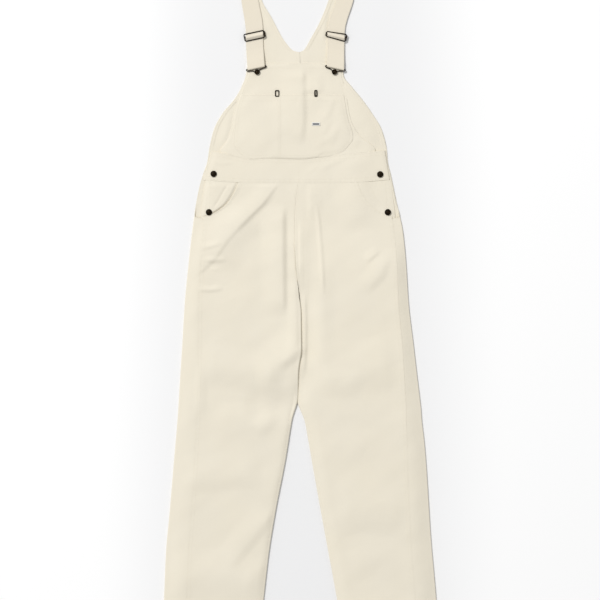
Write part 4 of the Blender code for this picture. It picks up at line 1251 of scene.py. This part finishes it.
def makeClip(node, x, width, radius):
    top = np.max(pocketTop(x, np.linspace(203, 208, 5))[2]) + clip["above"]
    outline = roundRectangle(width, clip["height"], clip["corner"], 4)
    finishMetal(node + "_wire", node, makeWire(turned(outline, 0, x, clip["y"], top), radius))


for wearer, route, sign in (("right", rightStrap, -1), ("left", leftStrap, 1)):
    makeSlider("slider_" + wearer, route, sign)
    makeBuckle("buckle_" + wearer, route, sign)
    makeButton("bib_button_" + wearer, button["bibRadius"], 0)
    makeButton("side_button_upper_" + wearer, button["sideRadius"], 1)
    makeButton("side_button_lower_" + wearer, button["sideRadius"], 1)
makeClip("pocket_clip_right", -49.0, 8.0, 1.15)
makeClip("pocket_clip_left", 42.0, 4.8, 1.5)


def placeTab(column, row):
    x = tab["x"] + tab["width"] * (column - 0.5)
    y = tab["y"] + tab["height"] * (row - 0.5)
    return x, y, pocketTop(x, y)[2] + tab["above"] + tab["thick"] / 2, tab["thick"]


pocketTab = makeSheet("pocket_tab", np.linspace(0, 1, 15), np.linspace(0, 1, 7), placeTab, tabCloth,
                      slot="tab")
for side in (-1, 1):
    x = tab["x"] + side * (tab["width"] / 2 - tab["stitchIn"])
    y = np.linspace(tab["y"] - 3.2, tab["y"] + 3.2, 8)
    sewAlong(x, y, pocketTop(x, y)[2] + tab["above"] + tab["thick"])
tabStitches = makeStitches("tab_stitches")
print("metal parts and tab made")

studio = {"floor": -0.5 * mm, "floorSize": 12.0, "paler": (0.19, 0.50), "ambient": 0.50,
          "keyPower": 1190.0, "keySize": 2.3, "keyPlace": (-5.4, 6.3, 10.8),
          "sensor": 36, "framed": 1.41, "cameraPlace": (-0.0003, 0.0375, 6.0)}
floorShape = bmesh.new()
bmesh.ops.create_grid(floorShape, x_segments=1, y_segments=1, size=studio["floorSize"] / 2)
bmesh.ops.translate(floorShape, vec=(0, 0, studio["floor"]), verts=floorShape.verts)
floorMesh = bpy.data.meshes.new("floor")
floorShape.to_mesh(floorMesh)
floorShape.free()
# paler towards the margins
finish = Finish("pale floor")
aside = finish.math("ABSOLUTE", finish.axis("X"))
near, far = studio["paler"]
paler = finish.node("MapRange", "Result", {"Value": aside, "From Min": near, "From Max": far},
                    interpolation_type="SMOOTHSTEP")
tone = finish.mix(paler, (0.87, 0.87, 0.875), (1.0, 1.0, 1.0))
floorMesh.materials.append(finish.set(Base_Color=tone, Roughness=0.9, Specular_IOR_Level=0.1))
floor = bpy.data.objects.new("floor", floorMesh)
bpy.context.collection.objects.link(floor)

world = bpy.data.worlds.new("studio")
bpy.context.scene.world = world
world.use_nodes = True
sky = world.node_tree.nodes["Background"]
sky.inputs["Color"].default_value = (1, 1, 1, 1)
sky.inputs["Strength"].default_value = studio["ambient"]

key = bpy.data.lights.new("key", "AREA")
key.energy = studio["keyPower"]
key.shape = "DISK"
key.size = studio["keySize"]
lamp = bpy.data.objects.new("key", key)
lamp.location = studio["keyPlace"]
lamp.rotation_euler = (Vector((0, 0, 0)) - lamp.location).to_track_quat("-Z", "Y").to_euler()
bpy.context.collection.objects.link(lamp)

lens = bpy.data.cameras.new("camera")
lens.sensor_width = studio["sensor"]
lens.lens = studio["sensor"] * studio["cameraPlace"][2] / studio["framed"]
camera = bpy.data.objects.new("camera", lens)
camera.location = studio["cameraPlace"]
bpy.context.collection.objects.link(camera)
bpy.context.scene.camera = camera
bpy.context.scene.view_settings.view_transform = "Standard"
print("floor, light and camera set")

bpy.context.view_layer.update()
